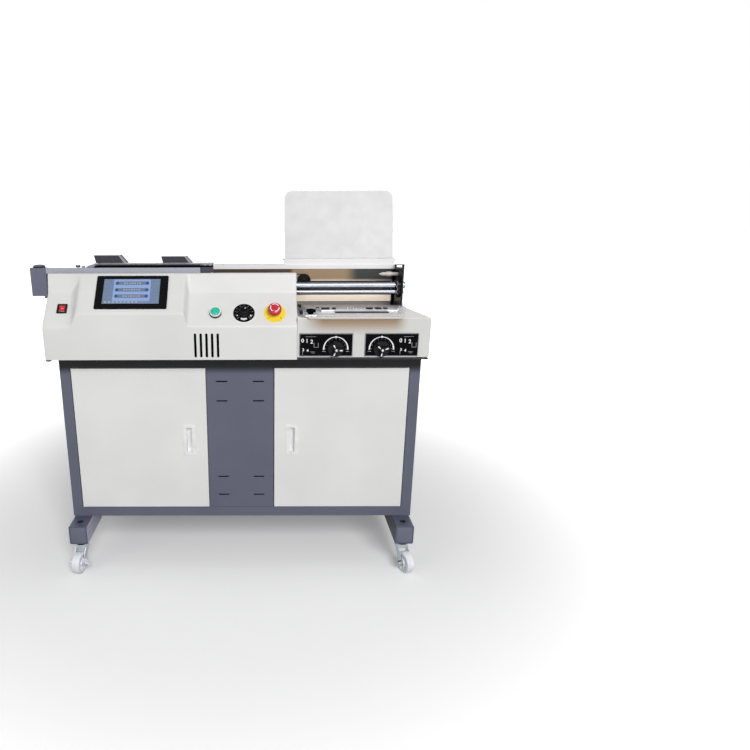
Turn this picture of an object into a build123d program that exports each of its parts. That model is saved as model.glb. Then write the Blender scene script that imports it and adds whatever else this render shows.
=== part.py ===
from build123d import *
import math
import os

os.makedirs("parts", exist_ok=True)

# All sizes are millimetres. X runs to the right from the cabinet's centre line and Y runs back
# from the cabinet's front plane. Heights are measured from a level that lies floor_z under the floor.
floor_z = 12

# Castors
castor_x = 491
castor_front_y = -37
castor_rear_y = 437
castor_trail = 30
wheel_radius = 32.5
wheel_width = 25
tread_round = 5
axle_radius = 5
front_left_turn = -10
front_right_turn = 20

# Feet and cabinet
cabinet_half = 521.5
cabinet_depth = 420
cabinet_bottom = 166.6
cabinet_top = 680
bar = 30
foot_width = 56
foot_height = 60
foot_centre = 491.5
foot_wall = 3
foot_front = -65.5
foot_back = 464.5
foot_underside = cabinet_bottom - foot_height
door_inner = 99.7
door_outer = 490
door_bottom = 198
door_top = 640
door_thick = 18
door_gap = 1.6
pivot_inset = 5
pin_radius = 3

# Console: side profile of the low front cover and of the raised block round the screen
skin = 2
bend_round = 3
cover_left = -538.5
cover_right = 162
face_y = -57.2
face_bottom = 680.5
ridge_z = 774.6
bend_y = 17.7
bend_z = 855.6
cover_top_y = 28.6
cover_top_z = 909
cover_back_y = 44
block_ridge_z = 810.7
block_left = -444
block_right = -149
left_blend = 24
right_blend = 9

# Controls on the sloping panels
control_slope = 42.7
button_x = -64
speed_x = 14.9
estop_x = 99.9
rocker_x = -490.5
rocker_slope = 58.3
bezel_left = -395
bezel_width = 199.4
bezel_height = 107
bezel_slope = 14
bezel_corner = 3
housing_inset = 5.5
housing_depth = 26
screen_width = 157
screen_height = 81
screen_left_margin = 20.6
screen_bottom_margin = 15

# Cover station
box_right = 527.6
box_back_right = 495.5
box_back_y = 135
box_bottom = 687
box_top = 797
dial_z = 711.5
dial_x = (268, 394)
dial_turn = (-4, 20)
plate_x = (241, 421.5)
plate_width = 148
plate_height = 65
plate_z = 722.5
table_thick = 3
table_gap = 0.5
slot_x = (270, 424)
slot_y = (-10, 22)
post_places = ((226, -30), (438, -30), (226, 116), (462, 116))

# Rear frame, rods and lid
wall_y = 264
beam_y = 262
beam_left = -92
beam_bottom = 895.8
beam_top = 909.5
strip_top = 926.5
end_plate_x = 483.5
end_plate_thick = 5
end_plate_top = 921.6
end_plate_back_top = 909.8
rod_y = 160
upper_rod_z = 857.5
upper_rod_radius = 9.5
lower_rod_z = 837.5
lower_rod_radius = 8.5
bracket_left = -594
bracket_right = -548
lid_left = 136.5
lid_right = 480
lid_length = 218
lid_lean = 17
lid_corner = 25
hinge_y = 270
hinge_z = 925
hinge_pin = 2

# Belt drive of the carriage
idler_x = 194
motor_x = -510
pulley_z = 867
pulley_radius = 18.3
flange_radius = 20.5
pulley_front = 194
pulley_width = 16
pulley_bore = 5

# Clamp carriage, parked at the left end
clamp_left = -430
clamp_right = -74
clamp_front = 50
shelf_back = 136
clamp_back = 214
plate_low = 924
plate_high = 928

# The frame's origin is on the floor under the middle of the machine's outline
left_end = bracket_left
right_end = box_right
front_turn = math.radians(abs(front_left_turn))
tread_reach = (wheel_radius - tread_round) * math.cos(front_turn)
tread_reach += (wheel_width / 2 - tread_round) * math.sin(front_turn) + tread_round
front_end = castor_front_y - castor_trail * math.cos(front_turn) - tread_reach
rear_end = castor_rear_y + castor_trail + wheel_radius
centre_x = -(left_end + right_end) / 2
front_y = -(front_end + rear_end) / 2


def level(z):
    """Horizontal plane at height z: sketch x runs right, sketch y runs back."""
    return Plane(origin=(centre_x, front_y, z - floor_z), x_dir=(1, 0, 0), z_dir=(0, 0, 1))


def upright(y):
    """Plane facing the front at depth y: sketch x runs right, sketch y runs up."""
    return Plane(origin=(centre_x, front_y + y, -floor_z), x_dir=(1, 0, 0), z_dir=(0, -1, 0))


def section(x):
    """Plane across the machine at x: sketch x runs back, sketch y runs up, extrusion runs right."""
    return Plane(origin=(centre_x + x, front_y, -floor_z), x_dir=(0, 1, 0), z_dir=(1, 0, 0))


def slope(low, high):
    """Plane of a sloping panel between two (y, z) profile points: sketch y runs up the slope."""
    run = high[0] - low[0]
    rise = high[1] - low[1]
    length = math.hypot(run, rise)
    normal = (0, -rise / length, run / length)
    return Plane(origin=(centre_x, front_y + low[0], low[1] - floor_z), x_dir=(1, 0, 0), z_dir=normal)


def keep(piece, name):
    """Label a finished piece and write it."""
    piece.label = name
    export_step(piece, f"parts/{name}.step")


control_panel = slope((face_y, ridge_z), (bend_y, bend_z))
screen_panel = slope((face_y, block_ridge_z), (cover_top_y, cover_top_z))

# Cabinet frame: posts, rails and the two mullions beside the centre panel
inner_half = cabinet_half - bar
top_rail = cabinet_top - door_top - door_gap
post_height = cabinet_top - cabinet_bottom
with BuildPart() as cabinet_frame:
    with BuildSketch(level(cabinet_bottom)):
        for x in (-cabinet_half + bar / 2, cabinet_half - bar / 2):
            with Locations((x, bar / 2), (x, cabinet_depth - bar / 2)):
                Rectangle(bar, bar)
    extrude(amount=post_height)
    for low, high in ((cabinet_bottom, bar), (cabinet_top - top_rail, top_rail)):
        with BuildSketch(level(low)):
            with Locations((0, bar / 2), (0, cabinet_depth - bar / 2)):
                Rectangle(2 * inner_half, bar)
            with Locations((-cabinet_half + bar / 2, cabinet_depth / 2),
                           (cabinet_half - bar / 2, cabinet_depth / 2)):
                Rectangle(bar, cabinet_depth - 2 * bar)
        extrude(amount=high)
    with BuildSketch(level(cabinet_bottom)):
        with Locations((-door_inner + 12, bar - 5), (door_inner - 12, bar - 5)):
            Rectangle(20, 10)
    extrude(amount=post_height)
    with BuildSketch(level(cabinet_bottom)):
        with Locations((-door_outer + pivot_inset, pivot_inset), (door_outer - pivot_inset, pivot_inset)):
            Circle(pin_radius)
    extrude(amount=post_height, mode=Mode.SUBTRACT)
keep(cabinet_frame.part, "cabinet_frame")

# Sheet sides, floor and ventilated back, set between the posts
panel_thick = 1.5
panel_low = cabinet_bottom + bar
panel_high = cabinet_top - top_rail
with BuildPart() as cabinet_panels:
    with BuildSketch(level(panel_low)):
        with Locations((-cabinet_half + 2, cabinet_depth / 2), (cabinet_half - 2, cabinet_depth / 2)):
            Rectangle(panel_thick, cabinet_depth - 2 * bar)
        with Locations((0, cabinet_depth - 2)):
            Rectangle(2 * inner_half, panel_thick)
    extrude(amount=panel_high - panel_low)
    with BuildSketch(level(panel_low - 4)):
        with Locations((0, cabinet_depth / 2)):
            Rectangle(2 * inner_half, cabinet_depth - 2 * bar)
    extrude(amount=2)
    with BuildSketch(upright(cabinet_depth + 1)):
        with Locations((-300, 560), (300, 560)):
            with GridLocations(0, 14, 1, 8):
                SlotOverall(120, 5)
    extrude(amount=6, mode=Mode.SUBTRACT)
keep(cabinet_panels.part, "cabinet_panels")

# Slotted panel between the doors, a shallow pan whose sides stand on the mullions
slot_length = 33
slot_width = 4
panel_slot_x = 53.5
slot_heights = (600.5, 541, 299, 239)
panel_front = 1
mullion_front = bar - 10
panel_mid = (door_bottom + door_top) / 2
panel_height = door_top - door_bottom + 2
with BuildPart() as centre_panel:
    with BuildSketch(upright(panel_front + panel_thick)):
        with Locations((0, panel_mid)):
            Rectangle(2 * door_inner - 4, panel_height)
    extrude(amount=panel_thick)
    with BuildSketch(upright(panel_front + panel_thick)):
        for z in slot_heights:
            with Locations((-panel_slot_x, z), (panel_slot_x, z)):
                SlotOverall(slot_length, slot_width)
    extrude(amount=panel_thick, mode=Mode.SUBTRACT)
    with BuildSketch(upright(mullion_front)):
        with Locations((-door_inner + 4, panel_mid), (door_inner - 4, panel_mid)):
            Rectangle(4, panel_height)
    extrude(amount=mullion_front - panel_front)
keep(centre_panel.part, "centre_panel")

# Doors: folded pans that turn on pins at their outer edges, with a moulded pull near the middle
pull_x = 153
pull_z = 418
pull_width = 37
pull_height = 96
for side, name in ((-1, "left"), (1, "right")):
    door_mid = side * (door_inner + door_outer) / 2
    pivot_x = side * (door_outer - pivot_inset)
    with BuildPart() as door:
        with BuildSketch(upright(0)):
            with Locations((door_mid, (door_bottom + door_top) / 2)):
                Rectangle(door_outer - door_inner, door_top - door_bottom)
        extrude(amount=-door_thick)
        fillet(door.edges().filter_by(Axis.Z).group_by(Axis.Y)[0], radius=2.5)
        inner = door.faces().sort_by(Axis.Y)[-1]
        offset(amount=-panel_thick, openings=inner)
        with BuildSketch(level(door_bottom)):
            with Locations((pivot_x - side * 1.5, pivot_inset + 1.5)):
                Rectangle(11, 11)
        extrude(amount=22)
        with BuildSketch(level(door_top)):
            with Locations((pivot_x - side * 1.5, pivot_inset + 1.5)):
                Rectangle(11, 11)
        extrude(amount=-22)
        with BuildSketch(level(door_bottom)):
            with Locations((pivot_x, pivot_inset)):
                Circle(pin_radius + 0.05)
        extrude(amount=door_top - door_bottom, mode=Mode.SUBTRACT)
        with BuildSketch(upright(-1)):
            with Locations((side * pull_x, pull_z)):
                Rectangle(pull_width - 4, pull_height - 4)
        extrude(amount=-6, mode=Mode.SUBTRACT)
    keep(door.part, f"door_{name}")

    with BuildPart() as pull:
        with BuildSketch(upright(0)):
            with Locations((side * pull_x, pull_z)):
                RectangleRounded(pull_width, pull_height, 3)
        extrude(amount=2)
        fillet(pull.faces().sort_by(Axis.Y)[0].edges(), radius=1.2)
        with BuildSketch(upright(0)):
            with Locations((side * pull_x, pull_z)):
                Rectangle(pull_width - 4, pull_height - 4)
        extrude(amount=-15)
        with BuildSketch(upright(-2)):
            with Locations((side * pull_x, pull_z)):
                RectangleRounded(15, 80, 2)
        extrude(amount=-15, mode=Mode.SUBTRACT)
    keep(pull.part, f"door_pull_{name}")

# Feet: square tubes under the cabinet's sides, closed at both ends
foot_middle = foot_underside + foot_height / 2
with BuildPart() as foot_tubes:
    with BuildSketch(upright(foot_front + foot_wall)):
        with Locations((-foot_centre, foot_middle), (foot_centre, foot_middle)):
            RectangleRounded(foot_width, foot_height, 5)
            RectangleRounded(foot_width - 2 * foot_wall, foot_height - 2 * foot_wall, 2, mode=Mode.SUBTRACT)
    extrude(amount=-(foot_back - foot_front - 2 * foot_wall))
    with BuildSketch(level(foot_underside)):
        for x in (-castor_x, castor_x):
            with Locations((x, castor_front_y), (x, castor_rear_y)):
                Circle(6.2)
    extrude(amount=foot_wall, mode=Mode.SUBTRACT)
    with BuildSketch(level(cabinet_bottom)):
        for x in (-castor_x, castor_x):
            with Locations((x, castor_front_y), (x, castor_rear_y)):
                Circle(9)
    extrude(amount=-foot_wall, mode=Mode.SUBTRACT)
keep(foot_tubes.part, "foot_tubes")

with BuildPart() as foot_caps:
    for y in (foot_front + foot_wall, foot_back):
        with BuildSketch(upright(y)):
            with Locations((-foot_centre, foot_middle), (foot_centre, foot_middle)):
                RectangleRounded(foot_width, foot_height, 5)
        extrude(amount=foot_wall)
keep(foot_caps.part, "foot_caps")

# Castors: a threaded stem and race plate in the foot, a swivelling fork, a wheel on a bolt
race_bottom = 98
crown_top = 97.7
crown_bottom = 86
crown_radius = 20
race_radius = 16
king_radius = 9
leg_inner = 14.5
leg_thick = 2.5
hub_half = 13.9
axle_z = floor_z + wheel_radius
castors = (
    ("front_left", -castor_x, castor_front_y, 180 + front_left_turn),
    ("front_right", castor_x, castor_front_y, 180 + front_right_turn),
    ("rear_left", -castor_x, castor_rear_y, 0),
    ("rear_right", castor_x, castor_rear_y, 0),
)
braked = ("front_left", "rear_right")

with BuildPart() as castor_stems:
    for label, x, y, heading in castors:
        with BuildSketch(level(race_bottom)):
            with Locations((x, y)):
                Circle(race_radius)
        extrude(amount=foot_underside - race_bottom)
        with BuildSketch(level(crown_bottom - 1)):
            with Locations((x, y)):
                Circle(king_radius)
        extrude(amount=race_bottom - crown_bottom + 1)
        with BuildSketch(level(crown_bottom - 4)):
            with Locations((x, y)):
                Circle(13)
        extrude(amount=3.5)
        with BuildSketch(level(foot_underside)):
            with Locations((x, y)):
                Circle(6)
        extrude(amount=40)
        with BuildSketch(level(foot_underside + foot_wall)):
            with Locations((x, y)):
                RegularPolygon(radius=10.5, side_count=6)
        extrude(amount=10)
keep(castor_stems.part, "castor_stems")


def castor_planes(x, y, heading):
    """Level plane on the stem's axis, and the plane across the axle, of one castor."""
    turn = math.radians(heading)
    along_axle = Vector(math.cos(turn), math.sin(turn), 0)
    trailing = Vector(-math.sin(turn), math.cos(turn), 0)
    base = Plane(origin=(centre_x + x, front_y + y, -floor_z), x_dir=along_axle, z_dir=(0, 0, 1))
    middle = Plane(origin=base.origin, x_dir=trailing, z_dir=along_axle)
    return base, middle


for label, x, y, heading in castors:
    base, middle = castor_planes(x, y, heading)
    axle_point = base.origin + middle.x_dir * castor_trail + Vector(0, 0, axle_z)
    axle_line = Axis(axle_point, base.x_dir)
    across = Plane(origin=axle_point, x_dir=base.x_dir, z_dir=-middle.x_dir)
    lever_gap = 4 if label in braked else 0.5
    with BuildPart() as fork:
        with BuildSketch(base.offset(crown_bottom)):
            Circle(crown_radius)
            Circle(king_radius + 0.05, mode=Mode.SUBTRACT)
        extrude(amount=4)
        with BuildSketch(base.offset(crown_bottom + 4)):
            Circle(crown_radius)
            Circle(crown_radius - 3, mode=Mode.SUBTRACT)
        extrude(amount=crown_top - crown_bottom - 4)
        for start in (leg_inner, -leg_inner - leg_thick):
            with BuildSketch(middle.offset(start)):
                with Locations((castor_trail, axle_z)):
                    Circle(9)
                with Locations((0, crown_bottom + 2)):
                    Rectangle(20, 4)
                make_hull()
                with Locations((castor_trail, axle_z)):
                    Circle(axle_radius, mode=Mode.SUBTRACT)
            extrude(amount=leg_thick)
        with BuildSketch(across):
            with BuildLine():
                outer = leg_inner + leg_thick
                Polyline(
                    (-outer - lever_gap - 5, 0), (-outer - lever_gap - 5, 8), (-outer - lever_gap, 8),
                    (-outer - lever_gap, axle_radius), (outer, axle_radius), (outer, 8.5),
                    (outer + 5, 8.5), (outer + 5, 0), close=True,
                )
            make_face()
        revolve(axis=axle_line)
    keep(fork.part, f"castor_fork_{label}")

    with BuildPart() as wheel:
        half = wheel_width / 2
        with BuildSketch(across):
            with BuildLine():
                Polyline(
                    (-hub_half, axle_radius + 0.05), (-hub_half, 10), (-half + 4, 12), (-half + 4, 21),
                    (-half, 24), (-half, wheel_radius), (half, wheel_radius), (half, 24),
                    (half - 4, 21), (half - 4, 12), (hub_half, 10), (hub_half, axle_radius + 0.05),
                    close=True,
                )
            make_face()
        revolve(axis=axle_line)
        rings = wheel.edges().filter_by(GeomType.CIRCLE)
        fillet(rings.filter_by(lambda e: abs(e.radius - wheel_radius) < 0.1), radius=tread_round)
    keep(wheel.part, f"castor_wheel_{label}")

    if label in braked:
        with BuildPart() as lever:
            with BuildSketch(middle.offset(-leg_inner - leg_thick - 3)):
                with Locations((castor_trail, axle_z)):
                    Circle(9.5)
                with Locations((castor_trail + 8, axle_z + 14)):
                    Circle(6)
                make_hull()
                with Locations((castor_trail, axle_z)):
                    Circle(axle_radius + 0.05, mode=Mode.SUBTRACT)
            extrude(amount=2.5)
            tab = Plane(origin=axle_point + middle.x_dir * 8 + Vector(0, 0, 15), x_dir=base.x_dir,
                        z_dir=-middle.x_dir)
            with BuildSketch(tab.offset(-7)):
                with BuildLine():
                    start = -leg_inner - leg_thick - 0.6
                    Polyline((start, 0), (start - 24, -11), (start - 24, -9), (start, 2.5), close=True)
                make_face()
            extrude(amount=14)
        keep(lever.part, f"brake_lever_{label}")

# Base pan of the console, with a chute opening under the milling head
with BuildPart() as base_pan:
    with BuildSketch(level(cabinet_top)):
        with BuildLine():
            Polyline(
                (cover_left + skin, face_y + skin + 1), (cover_right, face_y + skin + 1),
                (box_right - skin - 3, face_y + skin + 1), (box_back_right - 6, box_back_y - 3),
                (484.5, wall_y), (484.5, 469), (478, 475.5), (cover_left + 9, 475.5),
                (cover_left + skin, 469), close=True,
            )
        make_face()
        with Locations((-20, 88)):
            RectangleRounded(60, 40, 4, mode=Mode.SUBTRACT)
    extrude(amount=4)
keep(base_pan.part, "base_pan")


def cover_profile(ridge, bend):
    """Side profile of the front cover's outside, from its lower front corner round to its back."""
    return [(face_y, face_bottom), (face_y, ridge), bend, (cover_top_y, cover_top_z),
            (cover_back_y, cover_top_z), (cover_back_y, face_bottom)]


low_bend = (bend_y, bend_z)
share = (bend_y - face_y) / (cover_top_y - face_y)
block_bend = (bend_y, block_ridge_z + share * (cover_top_z - block_ridge_z))
low_profile = cover_profile(ridge_z, low_bend)
block_profile = cover_profile(block_ridge_z, block_bend)


def inset_profile(profile):
    """The profile of the cover's inside, one skin thickness within the given outside profile."""
    corners = []
    count = len(profile)
    for k, (y, z) in enumerate(profile):
        before = Vector(y, z) - Vector(*profile[k - 1])
        after = Vector(*profile[(k + 1) % count]) - Vector(y, z)
        normals = [Vector(edge.Y, -edge.X).normalized() for edge in (before, after)]
        move = (normals[0] + normals[1]) * (skin / (1 + normals[0].dot(normals[1])))
        corners.append((y + move.X, z + move.Y))
    return corners


def is_outer_edge(edge):
    """True for the cover's visible bends, and not for its bottom, back and right-hand rims."""
    box = edge.bounding_box()
    at_back = box.min.Y > front_y + cover_back_y - 1
    at_bottom = box.max.Z < face_bottom - floor_z + 0.1
    at_right = box.min.X > centre_x + cover_right - 0.1
    return not (at_back or at_bottom or at_right)


def cover_solid(inset):
    """The front cover's whole form; an inset makes the form of its hollow."""
    low = inset_profile(low_profile) if inset else low_profile
    block = inset_profile(block_profile) if inset else block_profile
    with BuildPart() as form:
        with BuildSketch(section(cover_left + inset)):
            with BuildLine():
                Polyline(*low, close=True)
            make_face()
        extrude(amount=cover_right - cover_left - 2 * inset)
        if not inset:
            fillet(form.edges().filter_by(is_outer_edge), radius=bend_round)
        for start, end in ((block_left - left_blend + inset, block_left + inset),
                           (block_right + right_blend - inset, block_right - inset)):
            for x, profile in ((start, low), (end, block)):
                with BuildSketch(section(x)):
                    with BuildLine():
                        Polyline(*profile, close=True)
                    make_face()
            loft(ruled=True)
        with BuildSketch(section(block_left + inset)):
            with BuildLine():
                Polyline(*block, close=True)
            make_face()
        extrude(amount=block_right - block_left - 2 * inset)
    return form.part


# Front cover: one moulding with a raised block round the screen and cut-outs for the controls
grille_first_x = -119.4
grille_pitch = 15.6
grille_z = 721.2
with BuildPart() as front_cover:
    add(cover_solid(0))
    add(cover_solid(skin), mode=Mode.SUBTRACT)
    with BuildSketch(level(face_bottom)):
        with Locations(((cover_left + cover_right) / 2, (face_y + cover_back_y) / 2)):
            Rectangle(cover_right - cover_left - 2 * skin, cover_back_y - face_y - 2 * skin)
    extrude(amount=skin, mode=Mode.SUBTRACT)
    with BuildSketch(level(face_bottom)):
        with Locations((cover_right - skin / 2, (face_y + skin + cover_back_y) / 2)):
            Rectangle(skin, cover_back_y - face_y - skin)
    extrude(amount=4, mode=Mode.SUBTRACT)
    with BuildSketch(upright(cover_back_y)):
        with Locations(((cover_left + cover_right) / 2, (face_bottom + cover_top_z - 14) / 2)):
            Rectangle(cover_right - cover_left - 2 * skin, cover_top_z - 14 - face_bottom)
    extrude(amount=skin + 1, mode=Mode.SUBTRACT)
    with BuildSketch(upright(face_y - 1)):
        for step in range(5):
            with Locations((grille_first_x + step * grille_pitch, grille_z)):
                SlotOverall(66.5, 5.3, rotation=90)
    extrude(amount=-6, mode=Mode.SUBTRACT)
    with BuildSketch(control_panel.offset(-6)):
        with Locations((button_x, control_slope), (estop_x, control_slope)):
            Circle(11)
        with Locations((speed_x, control_slope)):
            Circle(5)
        with Locations((rocker_x, rocker_slope)):
            Rectangle(21, 25)
    extrude(amount=12, mode=Mode.SUBTRACT)
    with BuildSketch(screen_panel.offset(-6)):
        with Locations((bezel_left + bezel_width / 2, bezel_slope + bezel_height / 2)):
            Rectangle(bezel_width - 2 * housing_inset + 1, bezel_height - 2 * housing_inset + 1)
    extrude(amount=12, mode=Mode.SUBTRACT)
keep(front_cover.part, "front_cover")

# Touch screen: a black bezel with a shallow housing behind it, and the display in its window
bezel_mid = (bezel_left + bezel_width / 2, bezel_slope + bezel_height / 2)
screen_mid = (bezel_left + screen_left_margin + screen_width / 2,
              bezel_slope + screen_bottom_margin + screen_height / 2)
with BuildPart() as hmi_bezel:
    with BuildSketch(screen_panel):
        with Locations(bezel_mid):
            RectangleRounded(bezel_width, bezel_height, bezel_corner)
    extrude(amount=4)
    fillet(hmi_bezel.edges().group_by(lambda e: round(screen_panel.to_local_coords(e.center()).Z, 1))[-1],
           radius=1.5)
    with BuildSketch(screen_panel):
        with Locations(bezel_mid):
            RectangleRounded(bezel_width - 2 * housing_inset, bezel_height - 2 * housing_inset,
                             bezel_corner)
    extrude(amount=-housing_depth)
    with BuildSketch(screen_panel.offset(1)):
        with Locations(screen_mid):
            RectangleRounded(screen_width, screen_height, 1.5)
    extrude(amount=4, mode=Mode.SUBTRACT)
keep(hmi_bezel.part, "hmi_bezel")

with BuildPart() as hmi_screen:
    with BuildSketch(screen_panel.offset(1)):
        with Locations(screen_mid):
            RectangleRounded(screen_width, screen_height, 1.5)
    extrude(amount=2.2)
keep(hmi_screen.part, "hmi_screen")

# Power rocker: frame through the panel and a tilting red key
with BuildPart() as rocker_housing:
    with BuildSketch(control_panel):
        with Locations((rocker_x, rocker_slope)):
            RectangleRounded(25.5, 29, 2)
            Rectangle(17, 21, mode=Mode.SUBTRACT)
    extrude(amount=2)
    with BuildSketch(control_panel.offset(-24)):
        with Locations((rocker_x, rocker_slope)):
            Rectangle(20.6, 24.6)
    extrude(amount=24)
    with BuildSketch(control_panel.offset(-14)):
        with Locations((rocker_x, rocker_slope)):
            Rectangle(17, 21)
    extrude(amount=15, mode=Mode.SUBTRACT)
keep(rocker_housing.part, "rocker_housing")

rocker_tilt = 10
rocker_pivot = control_panel.from_local_coords(Vector(rocker_x, rocker_slope, -5))
rocker_section = Plane(origin=rocker_pivot - Vector(8, 0, 0),
                       x_dir=control_panel.y_dir.rotate(Axis.X, rocker_tilt), z_dir=(1, 0, 0))
with BuildPart() as rocker:
    with BuildSketch(rocker_section):
        with BuildLine():
            Polyline((-8.8, -5), (8.8, -5), (8.8, 7), (0, 5.5), (-8.8, 7), close=True)
        make_face()
    extrude(amount=16)
    fillet(rocker.edges().filter_by(Axis.X).sort_by(Axis.Z)[-1:], radius=0.8)
    with BuildSketch(rocker_section.offset(-0.4)):
        Circle(1.5)
    extrude(amount=16.8)
keep(rocker.part, "rocker")

# Start button: chrome ring in the panel and a sprung green cap
ring_height = 6
cap_radius = 13.4
ring_radius = 16.8
barrel_radius = 10.8
with BuildPart() as button_collar:
    with BuildSketch(control_panel):
        with Locations((button_x, control_slope)):
            Circle(ring_radius)
    extrude(amount=ring_height)
    collar_rim = button_collar.edges().group_by(
        lambda e: round(control_panel.to_local_coords(e.center()).Z, 1))[-1]
    fillet(collar_rim, radius=1.5)
    with BuildSketch(control_panel):
        with Locations((button_x, control_slope)):
            Circle(barrel_radius)
    extrude(amount=-30)
    with BuildSketch(control_panel.offset(1)):
        with Locations((button_x, control_slope)):
            Circle(cap_radius + 0.4)
    extrude(amount=12, mode=Mode.SUBTRACT)
    with BuildSketch(control_panel.offset(-20)):
        with Locations((button_x, control_slope)):
            Circle(5.4)
    extrude(amount=22, mode=Mode.SUBTRACT)
keep(button_collar.part, "button_collar")

with BuildPart() as button_cap:
    with BuildSketch(control_panel.offset(4.6)):
        with Locations((button_x, control_slope)):
            Circle(cap_radius)
    extrude(amount=6)
    fillet(button_cap.edges().group_by(lambda e: round(control_panel.to_local_coords(e.center()).Z, 1))[-1],
           radius=1.5)
    with BuildSketch(control_panel.offset(-14)):
        with Locations((button_x, control_slope)):
            Circle(5)
    extrude(amount=19)
keep(button_cap.part, "button_cap")

# Speed dial: flat scale disc and a fluted knob on its shaft
with BuildPart() as speed_scale:
    with BuildSketch(control_panel):
        with Locations((speed_x, control_slope)):
            Circle(30)
            Circle(4.6, mode=Mode.SUBTRACT)
    extrude(amount=1.5)
    with BuildSketch(control_panel):
        with Locations((speed_x, control_slope)):
            Circle(4.8)
            Circle(4.3, mode=Mode.SUBTRACT)
    extrude(amount=-14)
    with BuildSketch(control_panel.offset(-skin)):
        with Locations((speed_x, control_slope)):
            Circle(13)
            Circle(4.5, mode=Mode.SUBTRACT)
    extrude(amount=-14)
keep(speed_scale.part, "speed_scale")

knob_plane = Plane(origin=control_panel.from_local_coords(Vector(speed_x, control_slope, 1.9)),
                   x_dir=(1, 0, 0), z_dir=control_panel.z_dir)
with BuildPart() as speed_knob:
    with BuildSketch(knob_plane):
        Circle(15)
    extrude(amount=5)
    with BuildSketch(knob_plane.offset(5)):
        Circle(12.5)
    extrude(amount=12, taper=4)
    fillet(speed_knob.edges().group_by(lambda e: round(knob_plane.to_local_coords(e.center()).Z, 1))[-1],
           radius=1.2)
    with BuildSketch(knob_plane.offset(6)):
        with PolarLocations(13.2, 18):
            Circle(1.1)
    extrude(amount=12, mode=Mode.SUBTRACT)
    with BuildSketch(knob_plane.offset(-14)):
        Circle(3)
    extrude(amount=14)
keep(speed_knob.part, "speed_knob")

# Emergency stop: yellow disc and collar, red mushroom head on a twisting plunger
stop_plane = Plane(origin=control_panel.from_local_coords(Vector(estop_x, control_slope, 0)),
                   x_dir=(1, 0, 0), z_dir=control_panel.z_dir)
with BuildPart() as estop_collar:
    with BuildSketch(stop_plane):
        Circle(30)
    extrude(amount=1.5)
    with BuildSketch(stop_plane.offset(1.5)):
        Circle(15)
    extrude(amount=6.5)
    with BuildSketch(stop_plane):
        Circle(10.8)
    extrude(amount=-40)
    with BuildSketch(stop_plane.offset(-30)):
        Circle(7.4)
    extrude(amount=40, mode=Mode.SUBTRACT)
keep(estop_collar.part, "estop_collar")

with BuildPart() as estop_head:
    with BuildSketch(stop_plane.offset(14)):
        Circle(17)
    extrude(amount=3)
    with BuildSketch(stop_plane.offset(17)):
        Circle(20)
    extrude(amount=11, taper=6)
    fillet(estop_head.edges().group_by(lambda e: round(stop_plane.to_local_coords(e.center()).Z, 1))[-1],
           radius=4)
    with BuildSketch(stop_plane.offset(-20)):
        Circle(7)
    extrude(amount=36)
keep(estop_head.part, "estop_head")

# Cover station: a folded box that tapers towards the back, open below
box_plan = [(cover_right, face_y), (box_right, face_y), (box_back_right, box_back_y - 25),
            (box_back_right - 4, box_back_y), (cover_right, box_back_y)]
with BuildPart() as station_box:
    with BuildSketch(level(box_bottom)):
        with BuildLine():
            Polyline(*box_plan, close=True)
        make_face()
    extrude(amount=box_top - box_bottom)
    visible = [e for e in station_box.edges() if e.bounding_box().max.Z > box_top - floor_z - 0.1
               and e.bounding_box().min.X > centre_x + cover_right + 0.1
               and e.bounding_box().min.Y < front_y + box_back_y - 1]
    front_top = station_box.edges().filter_by(Axis.X).group_by(Axis.Y)[0].sort_by(Axis.Z)[-1]
    fillet(visible + [front_top], radius=2.5)
    with BuildSketch(level(box_bottom)):
        with BuildLine():
            Polyline(*box_plan, close=True)
        make_face()
        offset(amount=-skin, kind=Kind.INTERSECTION, mode=Mode.REPLACE)
    extrude(amount=box_top - box_bottom - skin, mode=Mode.SUBTRACT)
    with BuildSketch(upright(face_y - 1)):
        for x in dial_x:
            with Locations((x, dial_z)):
                Circle(5)
    extrude(amount=-6, mode=Mode.SUBTRACT)
    with BuildSketch(level(box_top - 4)):
        with Locations(*post_places):
            Circle(6.6)
        with Locations(((slot_x[0] + slot_x[1]) / 2, (slot_y[0] + slot_y[1]) / 2)):
            Rectangle(slot_x[1] - slot_x[0] + 8, slot_y[1] - slot_y[0] + 8)
    extrude(amount=8, mode=Mode.SUBTRACT)
keep(station_box.part, "station_box")

with BuildPart() as dial_plates:
    with BuildSketch(upright(face_y)):
        for x, shaft_x in zip(plate_x, dial_x):
            with Locations((x, plate_z)):
                RectangleRounded(plate_width, plate_height, 2)
            with Locations((shaft_x, dial_z)):
                Circle(5, mode=Mode.SUBTRACT)
    extrude(amount=1.5)
keep(dial_plates.part, "dial_plates")

# Adjusting dials: a skirted knob with three grips, its shaft and a cam disc behind the panel
for shaft_x, turn, name in zip(dial_x, dial_turn, ("left", "right")):
    hub = Plane(origin=(centre_x + shaft_x, front_y + face_y - 2, dial_z - floor_z), x_dir=(1, 0, 0),
                z_dir=(0, -1, 0))
    with BuildPart() as dial:
        with BuildSketch(hub):
            Circle(22.5)
        extrude(amount=4, taper=8)
        with BuildSketch(hub.offset(4)):
            Circle(8)
            with PolarLocations(10.5, 3, start_angle=turn):
                RectangleRounded(21, 9, 4)
        extrude(amount=18)
        fillet(dial.faces().sort_by(Axis.Y)[0].edges(), radius=1.5)
        with BuildSketch(hub.offset(-30)):
            Circle(4)
        extrude(amount=31)
        with BuildSketch(hub.offset(-26)):
            with Locations((4, 0)):
                Circle(14)
        extrude(amount=6)
    keep(dial.part, f"dial_{name}")

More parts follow.
